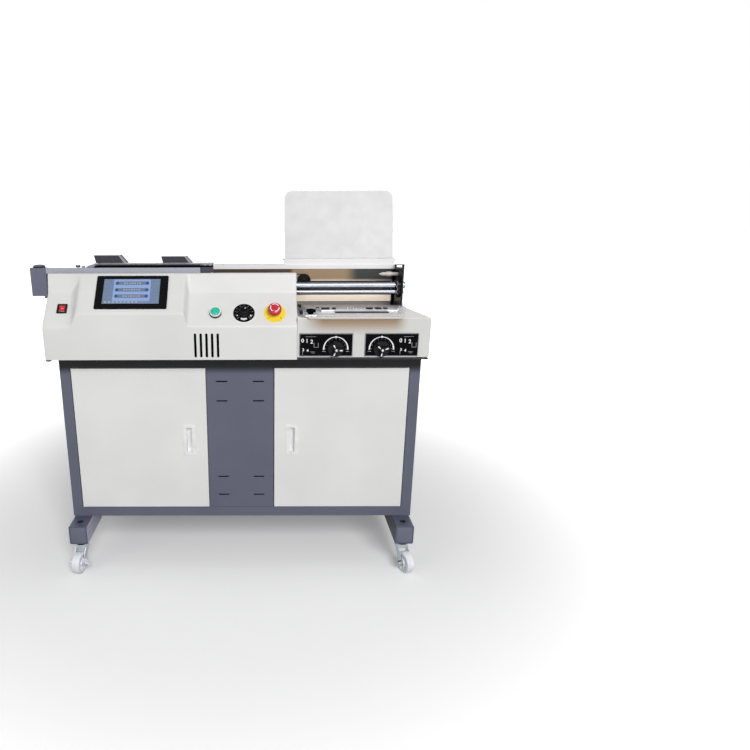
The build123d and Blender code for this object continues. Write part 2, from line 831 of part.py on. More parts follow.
# Lifting table for the cover sheet, on four posts that pass down through the box
table_low = box_top + table_gap
table_high = table_low + table_thick
table_front = -62
table_front_ends = (190.6, 449)
star_place = (199, -34)
star_stud = 3
stop_block = 4
table_plan = [(table_front_ends[0], table_front), (table_front_ends[1], table_front), (493, 108),
              (478, 136), (166, 136), (166, -25)]
with BuildPart() as cover_table:
    with BuildSketch(level(table_low)):
        with BuildLine():
            Polyline(*table_plan, close=True)
        make_face()
        with Locations(((slot_x[0] + slot_x[1]) / 2, (slot_y[0] + slot_y[1]) / 2)):
            Rectangle(slot_x[1] - slot_x[0], slot_y[1] - slot_y[0], mode=Mode.SUBTRACT)
    extrude(amount=table_thick)
    with BuildSketch(level(table_low)):
        with Locations((sum(table_front_ends) / 2, table_front + 0.6)):
            Rectangle(table_front_ends[1] - table_front_ends[0] - 4, 1.2)
    extrude(amount=-3)
    with BuildSketch(level(table_low)):
        with Locations(*post_places):
            Circle(6)
    extrude(amount=-100)
    with BuildSketch(level(table_high)):
        with Locations(star_place):
            Rectangle(30, 26)
    extrude(amount=stop_block)
    with BuildSketch(level(table_high - 12)):
        with Locations(star_place):
            Circle(star_stud + 0.05)
    extrude(amount=30, mode=Mode.SUBTRACT)
keep(cover_table.part, "cover_table")

# Nip bars that close on the spine from both sides, with their finger springs and screws
nip_low = table_high + 0.3
front_nip_height = 1.5
front_nip_depth = 30
rear_nip_height = 5
rear_nip_depth = 34
finger_line = slot_y[1] + 22
screw_line = slot_y[1] + 20
with BuildPart() as nip_plate_front:
    with BuildSketch(level(nip_low)):
        with Locations((340, slot_y[0] - front_nip_depth / 2)):
            Rectangle(236, front_nip_depth)
    extrude(amount=front_nip_height)
    chamfer(nip_plate_front.faces().sort_by(Axis.Z)[-1].edges(), length=0.6)
keep(nip_plate_front.part, "nip_plate_front")

with BuildPart() as nip_plate_rear:
    with BuildSketch(level(nip_low)):
        with Locations((345, slot_y[1] + rear_nip_depth / 2)):
            Rectangle(250, rear_nip_depth)
    extrude(amount=rear_nip_height)
    chamfer(nip_plate_rear.faces().sort_by(Axis.Z)[-1].edges(), length=1)
    with BuildSketch(level(nip_low + rear_nip_height)):
        for x in (250, 282, 370, 429):
            with Locations((x, finger_line)):
                Rectangle(9, 20)
    extrude(amount=3)
    with BuildSketch(level(nip_low + rear_nip_height)):
        for x in (234, 266, 326, 350, 398, 455):
            with Locations((x, screw_line)):
                Circle(4)
    extrude(amount=4)
keep(nip_plate_rear.part, "nip_plate_rear")

# Star knob that locks the side stop
star_low = table_high + stop_block + 0.4
star_neck = 2
with BuildPart() as star_knob:
    with BuildSketch(level(star_low + star_neck)):
        with Locations(star_place):
            Circle(10)
            with PolarLocations(10, 5):
                Circle(4)
    extrude(amount=8)
    fillet(star_knob.faces().sort_by(Axis.Z)[-1].edges(), radius=1.5)
    with BuildSketch(level(star_low)):
        with Locations(star_place):
            Circle(8)
    extrude(amount=star_neck)
    with BuildSketch(level(star_low - 6)):
        with Locations(star_place):
            Circle(star_stud)
    extrude(amount=6)
keep(star_knob.part, "star_knob")

# Rear housing: back, roof and sides, with the left side wall carried forward to the front cover
roof_z = 872
back_y = 478
side_top = 826
with BuildPart() as rear_cover:
    with BuildSketch(level(cabinet_top)):
        with Locations(((cover_left + 487) / 2, (wall_y + back_y) / 2)):
            Rectangle(487 - cover_left, back_y - wall_y)
    extrude(amount=roof_z - cabinet_top)
    fillet(rear_cover.edges().filter_by(Axis.Y).group_by(Axis.Z)[-1], radius=6)
    fillet(rear_cover.edges().filter_by(Axis.X).group_by(Axis.Y)[-1].sort_by(Axis.Z)[-1:], radius=6)
    openings = [rear_cover.faces().sort_by(Axis.Y)[0], rear_cover.faces().sort_by(Axis.Z)[0]]
    offset(amount=-skin, openings=openings)
    with BuildSketch(section(cover_left)):
        with BuildLine():
            Polyline((cover_back_y, face_bottom), (cover_back_y, side_top), (wall_y, side_top),
                     (wall_y, face_bottom), close=True)
        make_face()
    extrude(amount=skin)
    with BuildSketch(upright(back_y + 1)):
        with Locations((-250, 770), (250, 770)):
            with GridLocations(0, 13, 1, 7):
                SlotOverall(140, 5)
        with Locations((-420, 730)):
            Rectangle(27.6, 47.6)
    extrude(amount=6, mode=Mode.SUBTRACT)
keep(rear_cover.part, "rear_cover")

# Wall between the book path and the rear housing
with BuildPart() as inner_wall:
    with BuildSketch(upright(wall_y)):
        with BuildLine():
            Polyline((cover_left + skin, cabinet_top + 4), (end_plate_x, cabinet_top + 4),
                     (end_plate_x, beam_bottom + 4), (beam_left, beam_bottom + 4),
                     (beam_left, roof_z - 3), (cover_left + skin, roof_z - 3), close=True)
        make_face()
    extrude(amount=2)
    with BuildSketch(upright(wall_y - 2)):
        with Locations((idler_x, pulley_z)):
            Circle(pulley_bore)
    extrude(amount=wall_y - 2 - pulley_front)
keep(inner_wall.part, "inner_wall")

# Beam along the top of the wall, with the lugs that hold the lid's pin
lug_thick = 2
lug_x = (lid_left - 0.4 - lug_thick, lid_right + 0.4)
with BuildPart() as top_beam:
    with BuildSketch(section(beam_left)):
        with BuildLine():
            Polyline(
                (beam_y - 2, beam_bottom), (beam_y - 2, beam_top), (beam_y + 30, beam_top),
                (beam_y + 30, beam_top - 2), (beam_y, beam_top - 2), (beam_y, beam_bottom), close=True,
            )
        make_face()
    extrude(amount=end_plate_x - beam_left)
    with BuildSketch(section(lid_left)):
        with Locations((beam_y + 1, (beam_top - 2 + strip_top) / 2)):
            Rectangle(2, strip_top - beam_top + 2)
    extrude(amount=end_plate_x - lid_left)
    for x in lug_x:
        with BuildSketch(section(x)):
            with Locations((hinge_y, hinge_z)):
                Circle(4)
            with Locations((hinge_y, beam_top + 1)):
                Rectangle(8, 3)
            make_hull()
            with Locations((hinge_y, hinge_z)):
                Circle(hinge_pin, mode=Mode.SUBTRACT)
        extrude(amount=lug_thick)
keep(top_beam.part, "top_beam")

# Lid: a flat cover with rounded top corners and a rolled lower edge, which rests leaning back
lid_thick = 2
lid_face = Plane(origin=(centre_x, front_y + hinge_y, hinge_z - floor_z), x_dir=(1, 0, 0),
                 z_dir=(0, -math.cos(math.radians(lid_lean)), math.sin(math.radians(lid_lean))))
with BuildPart() as lid:
    with BuildSketch(lid_face.offset(-2 * lid_thick)):
        with BuildLine():
            FilletPolyline((lid_left, 0), (lid_left, lid_length), (lid_right, lid_length),
                           (lid_right, 0), radius=lid_corner)
            Line((lid_right, 0), (lid_left, 0))
        make_face()
    extrude(amount=lid_thick)
    with BuildSketch(section(lid_left)):
        with Locations((hinge_y, hinge_z)):
            Circle(4)
    extrude(amount=lid_right - lid_left)
    with BuildSketch(section(lid_left)):
        with Locations((hinge_y, hinge_z)):
            Circle(hinge_pin + 0.05)
    extrude(amount=lid_right - lid_left, mode=Mode.SUBTRACT)
keep(lid.part, "lid")

# Fixed pins: one at the top and bottom of each door, and one through the lid's rolled edge
pin_hold = 18
with BuildPart() as hinge_pins:
    for low in (panel_low - pin_hold, door_top - 16):
        with BuildSketch(level(low)):
            with Locations((-door_outer + pivot_inset, pivot_inset),
                           (door_outer - pivot_inset, pivot_inset)):
                Circle(pin_radius)
        extrude(amount=pin_hold + 16)
    with BuildSketch(section(lug_x[0] - 3)):
        with Locations((hinge_y, hinge_z)):
            Circle(hinge_pin)
    extrude(amount=lug_x[1] + lug_thick - lug_x[0] + 3)
keep(hinge_pins.part, "hinge_pins")

# End plate with the clamped collars of the two guide rods
with BuildPart() as end_plate:
    with BuildSketch(section(end_plate_x)):
        with BuildLine():
            Polyline((140, cabinet_top + 4), (140, end_plate_top), (wall_y - 6, end_plate_back_top),
                     (wall_y - 6, beam_bottom), (wall_y, beam_bottom), (wall_y, cabinet_top + 4),
                     close=True)
        make_face()
        with BuildLine():
            Polyline((150, 917.8), (150, 911.4), (246, 902.2), (246, 908.2), close=True)
        make_face(mode=Mode.SUBTRACT)
    extrude(amount=end_plate_thick)
    with BuildSketch(section(end_plate_x - 6.5)):
        with Locations((wall_y - 10, (cabinet_top + 4 + beam_bottom) / 2)):
            Rectangle(4, beam_bottom - cabinet_top - 8)
    extrude(amount=6.5)
    with BuildSketch(section(end_plate_x - 9)):
        with Locations((rod_y, upper_rod_z)):
            Circle(14)
        with Locations((rod_y, lower_rod_z)):
            Circle(13)
        with Locations((rod_y + 20, upper_rod_z + 14), (rod_y + 20, lower_rod_z - 14)):
            Circle(7)
        make_hull()
    extrude(amount=9)
    with BuildSketch(section(end_plate_x - 9)):
        with Locations((rod_y, upper_rod_z)):
            Circle(upper_rod_radius)
        with Locations((rod_y, lower_rod_z)):
            Circle(lower_rod_radius)
    extrude(amount=30, mode=Mode.SUBTRACT)
keep(end_plate.part, "end_plate")

with BuildPart() as guide_rods:
    with BuildSketch(section(bracket_left + 8)):
        with Locations((rod_y, upper_rod_z)):
            Circle(upper_rod_radius)
    extrude(amount=end_plate_x + 14 - bracket_left - 8)
    chamfer(guide_rods.edges().filter_by(GeomType.CIRCLE), length=1)
    with BuildSketch(section(bracket_left + 8)):
        with Locations((rod_y, lower_rod_z)):
            Circle(lower_rod_radius)
    extrude(amount=end_plate_x + 6 - bracket_left - 8)
keep(guide_rods.part, "guide_rods")

# Left bracket: a head with a domed cap that carries the rods, and a foot down to the side wall
head_low = 843.5
head_high = 923
arm_high = 900
rail_front = 47
head_back = 66
arm_back = 250
dome_centre = (-572.7, 66)
dome_radius = 16.5
bracket_mid = (bracket_left + bracket_right) / 2
with BuildPart() as left_bracket:
    with BuildSketch(level(head_low)):
        with Locations((bracket_mid, (rail_front + head_back) / 2)):
            Rectangle(bracket_right - bracket_left, head_back - rail_front)
    extrude(amount=head_high - head_low)
    with BuildSketch(level(head_low)):
        with Locations((bracket_mid, (head_back + arm_back) / 2)):
            Rectangle(bracket_right - bracket_left, arm_back - head_back)
    extrude(amount=arm_high - head_low)
    fillet(left_bracket.edges().filter_by(Axis.Z), radius=2)
    with BuildSketch(level(arm_high)):
        with Locations(dome_centre):
            Circle(dome_radius)
    extrude(amount=head_high + 7 - arm_high)
    fillet(left_bracket.faces().sort_by(Axis.Z)[-1].edges(), radius=5)
    with BuildSketch(level(823)):
        with Locations((bracket_mid, rod_y)):
            Rectangle(bracket_right - bracket_left - 4, 40)
    extrude(amount=head_low - 823)
    with BuildSketch(level(head_low)):
        with Locations((-532, 105)):
            Rectangle(34, 60)
    extrude(amount=6)
    with BuildSketch(section(cover_left + skin)):
        with Locations((105, 815)):
            Rectangle(60, 60)
    extrude(amount=4)
    with BuildSketch(section(bracket_left + 8)):
        with Locations((rod_y, upper_rod_z)):
            Circle(upper_rod_radius)
        with Locations((rod_y, lower_rod_z)):
            Circle(lower_rod_radius)
    extrude(amount=80, mode=Mode.SUBTRACT)
keep(left_bracket.part, "left_bracket")

# Rail bar that backs the clamp in its parked place
rail_left = bracket_right
rail_right = clamp_right - 36
rail_low = 907
rail_high = 923
with BuildPart() as rail_bar:
    with BuildSketch(section(rail_left)):
        with BuildLine():
            Polyline((rail_front, rail_low), (rail_front, rail_high), (rail_front + 7, rail_high),
                     (rail_front + 7, rail_high - 2), (rail_front + 2, rail_high - 2),
                     (rail_front + 2, rail_low), close=True)
        make_face()
    extrude(amount=rail_right - rail_left)
keep(rail_bar.part, "rail_bar")

# Clamp carriage: a slotted shelf with a lower tray behind it, on two end members whose bearing
# blocks run on the rods, and the fixed rear jaw
member = 20
right_member = -112
jaw_low = 850
jaw_thick = 10
slot_front = 60
slot_back = 92
slot_ends = (-407, -112)
tray_low = 908
bearing_low = 822
pin_places = ((slot_ends[0] + 14, 885), (slot_ends[1] - 14, 885))
with BuildPart() as clamp_carriage:
    with BuildSketch(level(plate_low)):
        with BuildLine():
            Polyline((clamp_left, clamp_front), (clamp_right, clamp_front), (clamp_right, clamp_front + 16),
                     (clamp_right - 5, clamp_front + 20), (clamp_right - 5, shelf_back),
                     (clamp_left, shelf_back), close=True)
        make_face()
        with Locations((sum(slot_ends) / 2, (slot_front + slot_back) / 2)):
            Rectangle(slot_ends[1] - slot_ends[0], slot_back - slot_front, mode=Mode.SUBTRACT)
    extrude(amount=plate_high - plate_low)
    with BuildSketch(level(tray_low)):
        with BuildLine():
            Polyline((clamp_left, shelf_back - 3), (right_member + member, shelf_back - 3),
                     (right_member + member, clamp_back), (clamp_left, clamp_back), close=True)
        make_face()
    extrude(amount=4)
    with BuildSketch(level(tray_low)):
        with BuildLine():
            Polyline((clamp_left, shelf_back - 3), (right_member + member, shelf_back - 3),
                     (right_member + member, shelf_back), (clamp_left, shelf_back), close=True)
        make_face()
    extrude(amount=plate_low - tray_low)
    for x in (clamp_left, right_member):
        with BuildSketch(level(892)):
            with Locations((x + member / 2, (slot_front + shelf_back) / 2)):
                Rectangle(member, shelf_back - slot_front)
        extrude(amount=plate_low - 892)
        with BuildSketch(level(892)):
            with Locations((x + member / 2, (shelf_back + clamp_back) / 2)):
                Rectangle(member, clamp_back - shelf_back)
        extrude(amount=tray_low - 892)
        with BuildSketch(level(bearing_low)):
            with Locations((x + member / 2, rod_y)):
                Rectangle(member, 34)
        extrude(amount=892 - bearing_low)
    with BuildSketch(level(cover_top_z + 0.5)):
        with Locations((clamp_right - 17, 56.5)):
            Rectangle(34, 19)
    extrude(amount=plate_low - cover_top_z - 0.5)
    with BuildSketch(level(jaw_low)):
        with Locations(((clamp_left + member + right_member) / 2, slot_back + 6)):
            Rectangle(right_member - clamp_left - member, 12)
    extrude(amount=plate_low - jaw_low)
    with BuildSketch(level(887.4)):
        with Locations((clamp_left + member / 2, 202)):
            Rectangle(member, 12)
    extrude(amount=5)
    with BuildSketch(section(clamp_left - 1)):
        with Locations((rod_y, upper_rod_z)):
            Circle(upper_rod_radius + 0.05)
        with Locations((rod_y, lower_rod_z)):
            Circle(lower_rod_radius + 0.05)
    extrude(amount=clamp_right - clamp_left + 2, mode=Mode.SUBTRACT)
    with BuildSketch(upright(slot_back - 1)):
        with Locations(*pin_places):
            Circle(4.05)
    extrude(amount=-20, mode=Mode.SUBTRACT)
keep(clamp_carriage.part, "clamp_carriage")

# Front jaw, which closes towards the fixed rear jaw on two guide pins
jaw_height = 53
with BuildPart() as clamp_jaw:
    with BuildSketch(level(jaw_low + 2)):
        with Locations((sum(slot_ends) / 2, slot_front - jaw_thick / 2)):
            Rectangle(slot_ends[1] - slot_ends[0] - 6, jaw_thick)
    extrude(amount=jaw_height)
    chamfer(clamp_jaw.edges().filter_by(Axis.X).sort_by(Axis.Z)[-2:], length=2)
    with BuildSketch(upright(slot_front - 4)):
        with Locations(*pin_places):
            Circle(4)
    extrude(amount=-58)
keep(clamp_jaw.part, "clamp_jaw")

# Two folded paper supports at the back of the shelf: an upright with a sloping right-hand flange
supports = ((-432, 97, 77.5, 23), (-233.4, 91, 74, 19.5))
support_front = 132
support_depth = 24
with BuildPart() as book_supports:
    for x, low_width, high_width, height in supports:
        top = plate_high + height
        with BuildSketch(upright(support_front)):
            with BuildLine():
                Polyline((x + 5, plate_high), (x, top), (x + high_width, top), (x + low_width, plate_high),
                         close=True)
            make_face()
        extrude(amount=-support_depth)
        with BuildSketch(upright(support_front + 3)):
            with BuildLine():
                Polyline((x - 1, plate_high + 3), (x - 1, top + 1), (x + high_width - 3, top + 1),
                         (x + low_width - 3, plate_high + 3), close=True)
            make_face()
        extrude(amount=-support_depth, mode=Mode.SUBTRACT)
keep(book_supports.part, "book_supports")

# Milling head motor under the book path, and the gear motor of the belt drive
mill_x = -20
mill_y = 76
motor_top = 806
shaft_radius = 7
with BuildPart() as motors:
    with BuildSketch(level(cabinet_top + 4)):
        with Locations((mill_x, mill_y)):
            RectangleRounded(120, 110, 8)
    extrude(amount=8)
    with BuildSketch(level(cabinet_top + 12)):
        with Locations((mill_x, mill_y)):
            Circle(50)
    extrude(amount=motor_top - cabinet_top - 12)
    with BuildSketch(level(cabinet_top + 30)):
        with Locations((mill_x, mill_y)):
            with PolarLocations(52, 24):
                Rectangle(6, 2.5)
    extrude(amount=80)
    with BuildSketch(level(motor_top - 16)):
        with Locations((mill_x, mill_y)):
            Circle(shaft_radius + 0.05)
    extrude(amount=16, mode=Mode.SUBTRACT)
    with BuildSketch(upright(pulley_front + pulley_width + 8)):
        with Locations((motor_x, pulley_z)):
            Circle(25)
    extrude(amount=-(wall_y - skin - pulley_front - pulley_width - 8))
    with BuildSketch(upright(pulley_front + pulley_width + 8)):
        with Locations((motor_x, pulley_z)):
            Circle(pulley_bore + 0.05)
    extrude(amount=-14, mode=Mode.SUBTRACT)
keep(motors.part, "motors")

# Milling cutter: a disc with raised teeth round its rim and its shaft below
cutter_low = 828
with BuildPart() as milling_cutter:
    with BuildSketch(level(cutter_low)):
        with Locations((mill_x, mill_y)):
            Circle(42)
    extrude(amount=10)
    with BuildSketch(level(cutter_low + 10)):
        with Locations((mill_x, mill_y)):
            with PolarLocations(37, 16):
                Rectangle(7, 6)
    extrude(amount=5)
    with BuildSketch(level(cutter_low + 10)):
        with Locations((mill_x, mill_y)):
            Circle(12)
    extrude(amount=4)
    with BuildSketch(level(motor_top - 14)):
        with Locations((mill_x, mill_y)):
            Circle(shaft_radius)
    extrude(amount=cutter_low - motor_top + 14)
keep(milling_cutter.part, "milling_cutter")

# Glue tank on two legs, with a pair of rollers that dip into it
tank_left = 70
tank_right = 152
tank_front = 40
tank_back = 136
tank_low = 775
tank_high = 832
roller_x = (91, 131)
roller_z = 822
roller_radius = 16
roller_shaft = 6
with BuildPart() as glue_tank:
    tank_mid = ((tank_left + tank_right) / 2, (tank_front + tank_back) / 2)
    with BuildSketch(level(tank_low)):
        with Locations(tank_mid):
            Rectangle(tank_right - tank_left, tank_back - tank_front)
    extrude(amount=tank_high - tank_low)
    with BuildSketch(level(tank_low + 5)):
        with Locations(tank_mid):
            Rectangle(tank_right - tank_left - 8, tank_back - tank_front - 12)
    extrude(amount=tank_high - tank_low, mode=Mode.SUBTRACT)
    with BuildSketch(level(cabinet_top + 4)):
        with Locations((tank_mid[0], tank_front + 15), (tank_mid[0], tank_back - 15)):
            Rectangle(60, 16)
    extrude(amount=tank_low - cabinet_top - 4)
    with BuildSketch(upright(tank_front - 1)):
        for x in roller_x:
            with Locations((x, roller_z)):
                Circle(roller_shaft + 0.05)
    extrude(amount=-(tank_back - tank_front + 2), mode=Mode.SUBTRACT)
keep(glue_tank.part, "glue_tank")

for x, name in zip(roller_x, ("left", "right")):
    with BuildPart() as roller:
        with BuildSketch(upright(tank_front + 8)):
            with Locations((x, roller_z)):
                Circle(roller_radius)
        extrude(amount=-(tank_back - tank_front - 16))
        with BuildSketch(upright(tank_front - 3)):
            with Locations((x, roller_z)):
                Circle(roller_shaft)
        extrude(amount=-(tank_back - tank_front + 6))
    keep(roller.part, f"glue_roller_{name}")

# Toothed belt pulleys: the idler runs on the wall's stud, the driver on the motor's shaft
for x, name in ((idler_x, "idler_pulley"), (motor_x, "drive_pulley")):
    with BuildPart() as pulley:
        with BuildSketch(upright(pulley_front)):
            with Locations((x, pulley_z)):
                Circle(flange_radius)
        extrude(amount=-pulley_width)
        with BuildSketch(upright(pulley_front + 2)):
            with Locations((x, pulley_z)):
                Circle(flange_radius)
                Circle(pulley_radius - 2, mode=Mode.SUBTRACT)
        extrude(amount=-(pulley_width - 4), mode=Mode.SUBTRACT)
        if name == "idler_pulley":
            with BuildSketch(upright(pulley_front - 1)):
                with Locations((x, pulley_z)):
                    Circle(pulley_bore + 0.05)
            extrude(amount=-(pulley_width + 2), mode=Mode.SUBTRACT)
        else:
            with BuildSketch(upright(pulley_front + pulley_width)):
                with Locations((x, pulley_z)):
                    Circle(pulley_bore)
            extrude(amount=-18)
    keep(pulley.part, name)

# Mains inlet on the back of the housing
inlet_x = -420
inlet_z = 730
with BuildPart() as power_inlet:
    with BuildSketch(upright(back_y)):
        with Locations((inlet_x, inlet_z)):
            RectangleRounded(40, 60, 3)
    extrude(amount=-3)
    with BuildSketch(upright(back_y)):
        with Locations((inlet_x, inlet_z)):
            Rectangle(27.6, 47.6)
    extrude(amount=22)
    with BuildSketch(upright(back_y + 3)):
        with Locations((inlet_x, inlet_z + 8)):
            RectangleRounded(24.6, 17, 3)
    extrude(amount=17, mode=Mode.SUBTRACT)
    with BuildSketch(upright(back_y - 14)):
        with Locations((inlet_x - 7, inlet_z + 6), (inlet_x, inlet_z + 10), (inlet_x + 7, inlet_z + 6)):
            Rectangle(2, 5)
    extrude(amount=-12)
keep(power_inlet.part, "power_inlet")
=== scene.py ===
import math

import bmesh
import bpy
import numpy as np
from mathutils import Matrix, Vector


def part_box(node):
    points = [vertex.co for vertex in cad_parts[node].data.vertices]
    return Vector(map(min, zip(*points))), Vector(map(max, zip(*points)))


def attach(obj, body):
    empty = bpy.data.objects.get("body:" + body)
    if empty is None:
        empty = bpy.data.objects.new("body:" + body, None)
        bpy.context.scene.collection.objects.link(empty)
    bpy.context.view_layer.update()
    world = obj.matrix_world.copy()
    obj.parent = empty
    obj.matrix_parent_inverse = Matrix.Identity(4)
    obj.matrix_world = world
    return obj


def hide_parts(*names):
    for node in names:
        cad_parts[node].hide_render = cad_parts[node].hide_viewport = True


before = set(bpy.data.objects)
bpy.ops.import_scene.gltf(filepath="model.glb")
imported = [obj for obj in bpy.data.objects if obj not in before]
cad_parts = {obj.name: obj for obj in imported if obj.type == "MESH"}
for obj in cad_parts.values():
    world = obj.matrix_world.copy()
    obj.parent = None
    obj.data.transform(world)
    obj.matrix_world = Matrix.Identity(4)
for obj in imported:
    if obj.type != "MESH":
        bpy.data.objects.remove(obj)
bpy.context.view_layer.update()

# Places are given in millimetres in the machine's own axes, as in the part's source: X runs right
# from the cabinet's centre line, Y back from its front plane and Z up from a level FLOOR below the floor.
cabinet_low, cabinet_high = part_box("cabinet_frame")
MM = 0.001
FLOOR = 12.0
ORIGIN = np.array([(cabinet_low.x + cabinet_high.x) / 2, cabinet_low.y, -FLOOR * MM])


def at(*spot):
    """The point or points at places in the machine's millimetres, in metres."""
    return ORIGIN + MM * np.asarray(spot[0] if len(spot) == 1 else spot, float)


def unit(v):
    """The vector v divided by its length."""
    v = np.asarray(v, float)
    return v / np.linalg.norm(v)


def place(origin, across, out):
    """A change of axes: local (a, b, c) in millimetres goes to origin + a across + b up + c out,
    where up is out x across."""
    across, out = unit(across), unit(out)
    axes = np.stack([across, np.cross(out, across), out])
    start = at(*origin)
    return lambda local: start + MM * (np.asarray(local, float) @ axes)


def level(x, y, z):
    """Axes on a horizontal face: local x to the right, y to the rear, z up."""
    return place((x, y, z), (1, 0, 0), (0, 0, 1))


def facing(x, y, z):
    """Axes on a face that looks to the front: local x to the right, y up, z forward."""
    return place((x, y, z), (1, 0, 0), (0, -1, 0))


def sideways(x, y, z):
    """Axes on a face that looks right: local x to the rear, y up, z to the right."""
    return place((x, y, z), (0, 1, 0), (1, 0, 0))


def behind(x, y, z):
    """Axes on a face that looks to the rear: local x to the left, y up, z back."""
    return place((x, y, z), (-1, 0, 0), (0, 1, 0))


# Console profile
FACE_Y, FACE_LOW = -57.2, 680.5
RIDGE_Z, BLOCK_RIDGE_Z = 774.6, 810.7
BEND = np.array([17.7, 855.6])
TOP = np.array([28.6, 909.0])
BACK_Y, BACK_LOW = 44.0, 895.0
COVER_LEFT, COVER_RIGHT = -538.5, 162.0
BLOCK_LEFT, BLOCK_RIGHT = -444.0, -149.0
LEFT_BLEND, RIDGE_BLEND, RIGHT_BLEND = 26.0, 15.0, 9.0


def on_slope(low, high, x, s, h=0.0):
    """Axes on a sloping panel that rises from profile point low to high: s is measured up it."""
    run = np.asarray(high, float) - np.asarray(low, float)
    run /= np.linalg.norm(run)
    y, z = np.asarray(low, float) + run * s + np.array([-run[1], run[0]]) * h
    return place((x, y, z), (1, 0, 0), (0, -run[1], run[0]))


def control(x, s, h=0.0):
    """Axes on the low sloping panel that carries the controls."""
    return on_slope((FACE_Y, RIDGE_Z), BEND, x, s, h)


def display(x, s, h=0.0):
    """Axes on the raised block's sloping panel, round the screen."""
    return on_slope((FACE_Y, BLOCK_RIDGE_Z), TOP, x, s, h)


# Surfaces worked out on a grid

def net(points, wrap_rows=False, wrap_columns=True):
    """Quads over a grid of points, rows by columns; columns join up when wrapped, and so do rows.
    Where only the columns do, one face closes the first row and one the last."""
    rows, columns = points.shape[:2]
    index = np.arange(rows * columns).reshape(rows, columns)
    across = np.concatenate([index, index[:, :1]], 1) if wrap_columns else index
    down = np.concatenate([across, across[:1]], 0) if wrap_rows else across
    quads = np.stack([down[:-1, :-1], down[:-1, 1:], down[1:, 1:], down[1:, :-1]], -1).reshape(-1, 4)
    faces = quads.tolist()
    if not wrap_rows and wrap_columns:
        faces += [index[0, ::-1].tolist(), index[-1].tolist()]
    return points.reshape(-1, 3), faces


def turned(spot, rows, steps=48, closed=False):
    """A turned surface: a row gives a radius, one for all angles or one for each, and a height,
    and its points are (radius cos t, radius sin t, height). Closed, its last row joins its first."""
    angle = np.linspace(0, 2 * np.pi, steps, endpoint=False)
    radius = np.stack([np.broadcast_to(np.asarray(r, float), steps) for r, _ in rows])
    height = np.stack([np.full(steps, float(h)) for _, h in rows])
    return net(spot(np.stack([radius * np.cos(angle), radius * np.sin(angle), height], -1)), wrap_rows=closed)


def ring(spot, rows, steps=48):
    """A turned surface whose last row joins its first, such as a washer or a bezel ring."""
    return turned(spot, rows, steps, True)


def sided(radius, sides, steps=48):
    """Radius at each angle of a regular polygon: r cos(pi/n) / cos((t mod 2pi/n) - pi/n)."""
    part = 2 * np.pi / sides
    angle = np.mod(np.linspace(0, 2 * np.pi, steps, endpoint=False), part)
    return radius * math.cos(part / 2) / np.cos(angle - part / 2)


def rectangle(width, height, corner, inset=0.0):
    """Points round a rectangle with rounded corners, anticlockwise, moved in by an inset."""
    corner = max(corner - inset, 0.02)
    half = np.array([width / 2 - inset - corner, height / 2 - inset - corner])
    quarter = np.arange(4)[:, None] * np.pi / 2
    angle = quarter + np.linspace(0, np.pi / 2, 6)
    centre = np.stack([np.sign(np.cos(quarter + np.pi / 4)), np.sign(np.sin(quarter + np.pi / 4))], -1) * half
    return (centre + corner * np.stack([np.cos(angle), np.sin(angle)], -1)).reshape(-1, 2)


def raised_to(outline, height):
    """An outline's points (x, y) with a height added to each."""
    outline = np.asarray(outline, float)
    return np.concatenate([outline, np.full((len(outline), 1), height)], 1)


def quarter_arc(edge, low, high):
    """Rows (inset, height) that round an edge from (0, high - edge) in to (edge, high)."""
    return [(edge * (1 - math.cos(a)), high - edge + edge * math.sin(a))
            for a in np.linspace(0, np.pi / 2, 4)]


def slab(spot, width, height, corner, low, high, edge=0.6):
    """A plate with rounded corners and a rounded upper rim: each row is the outline moved in by the
    rim's arc, at that arc's height."""
    rows = [(0.0, low)] + quarter_arc(edge, low, high)
    return net(spot(np.stack([raised_to(rectangle(width, height, corner, inset), z) for inset, z in rows])))


def window(spot, outer, inner, low, high, edge=0.5):
    """A frame between two rounded rectangles (width, height, corner), its rims rounded. The last
    row joins the first."""
    rows = [(outer, inset, z) for inset, z in [(0.0, low)] + quarter_arc(edge, low, high)]
    rows += [(inner, -inset, z) for inset, z in quarter_arc(edge, low, high)[::-1] + [(0.0, low)]]
    return net(spot(np.stack([raised_to(rectangle(*size, inset), z) for size, inset, z in rows])),
               wrap_rows=True)


def prism(spot, outline, low, high):
    """An outline in local x and y carried from height low to height high, with flat ends."""
    return net(spot(np.stack([raised_to(outline, z) for z in (low, high)])))


def block(x, y, z):
    """A straight block between two places along each of the machine's axes."""
    corners = [[x[0], y[0]], [x[1], y[0]], [x[1], y[1]], [x[0], y[1]]]
    return prism(level(0, 0, 0), corners, *z)


def ribbon(spot, path, width, low, high):
    """A flat stroke along a path: the path moved left and right by half its width, given a height."""
    path = np.asarray(path, float)
    ahead = np.gradient(path, axis=0)
    ahead /= np.linalg.norm(ahead, axis=1, keepdims=True)
    side = np.stack([-ahead[:, 1], ahead[:, 0]], 1) * np.broadcast_to(width, len(path))[:, None] / 2
    edges = [(path + side, low), (path + side, high), (path - side, high), (path - side, low)]
    return net(spot(np.stack([raised_to(points, z) for points, z in edges], 1)))


def arc(radius, start, end, count=33, centre=(0.0, 0.0)):
    """Points on an arc, from start to end in degrees."""
    angle = np.radians(np.linspace(start, end, count))
    return np.stack([centre[0] + radius * np.cos(angle), centre[1] + radius * np.sin(angle)], 1)


def toward(degrees, reach):
    """The point (x, y) at an angle and a distance."""
    turn = math.radians(degrees)
    return np.array([math.cos(turn), math.sin(turn)]) * reach


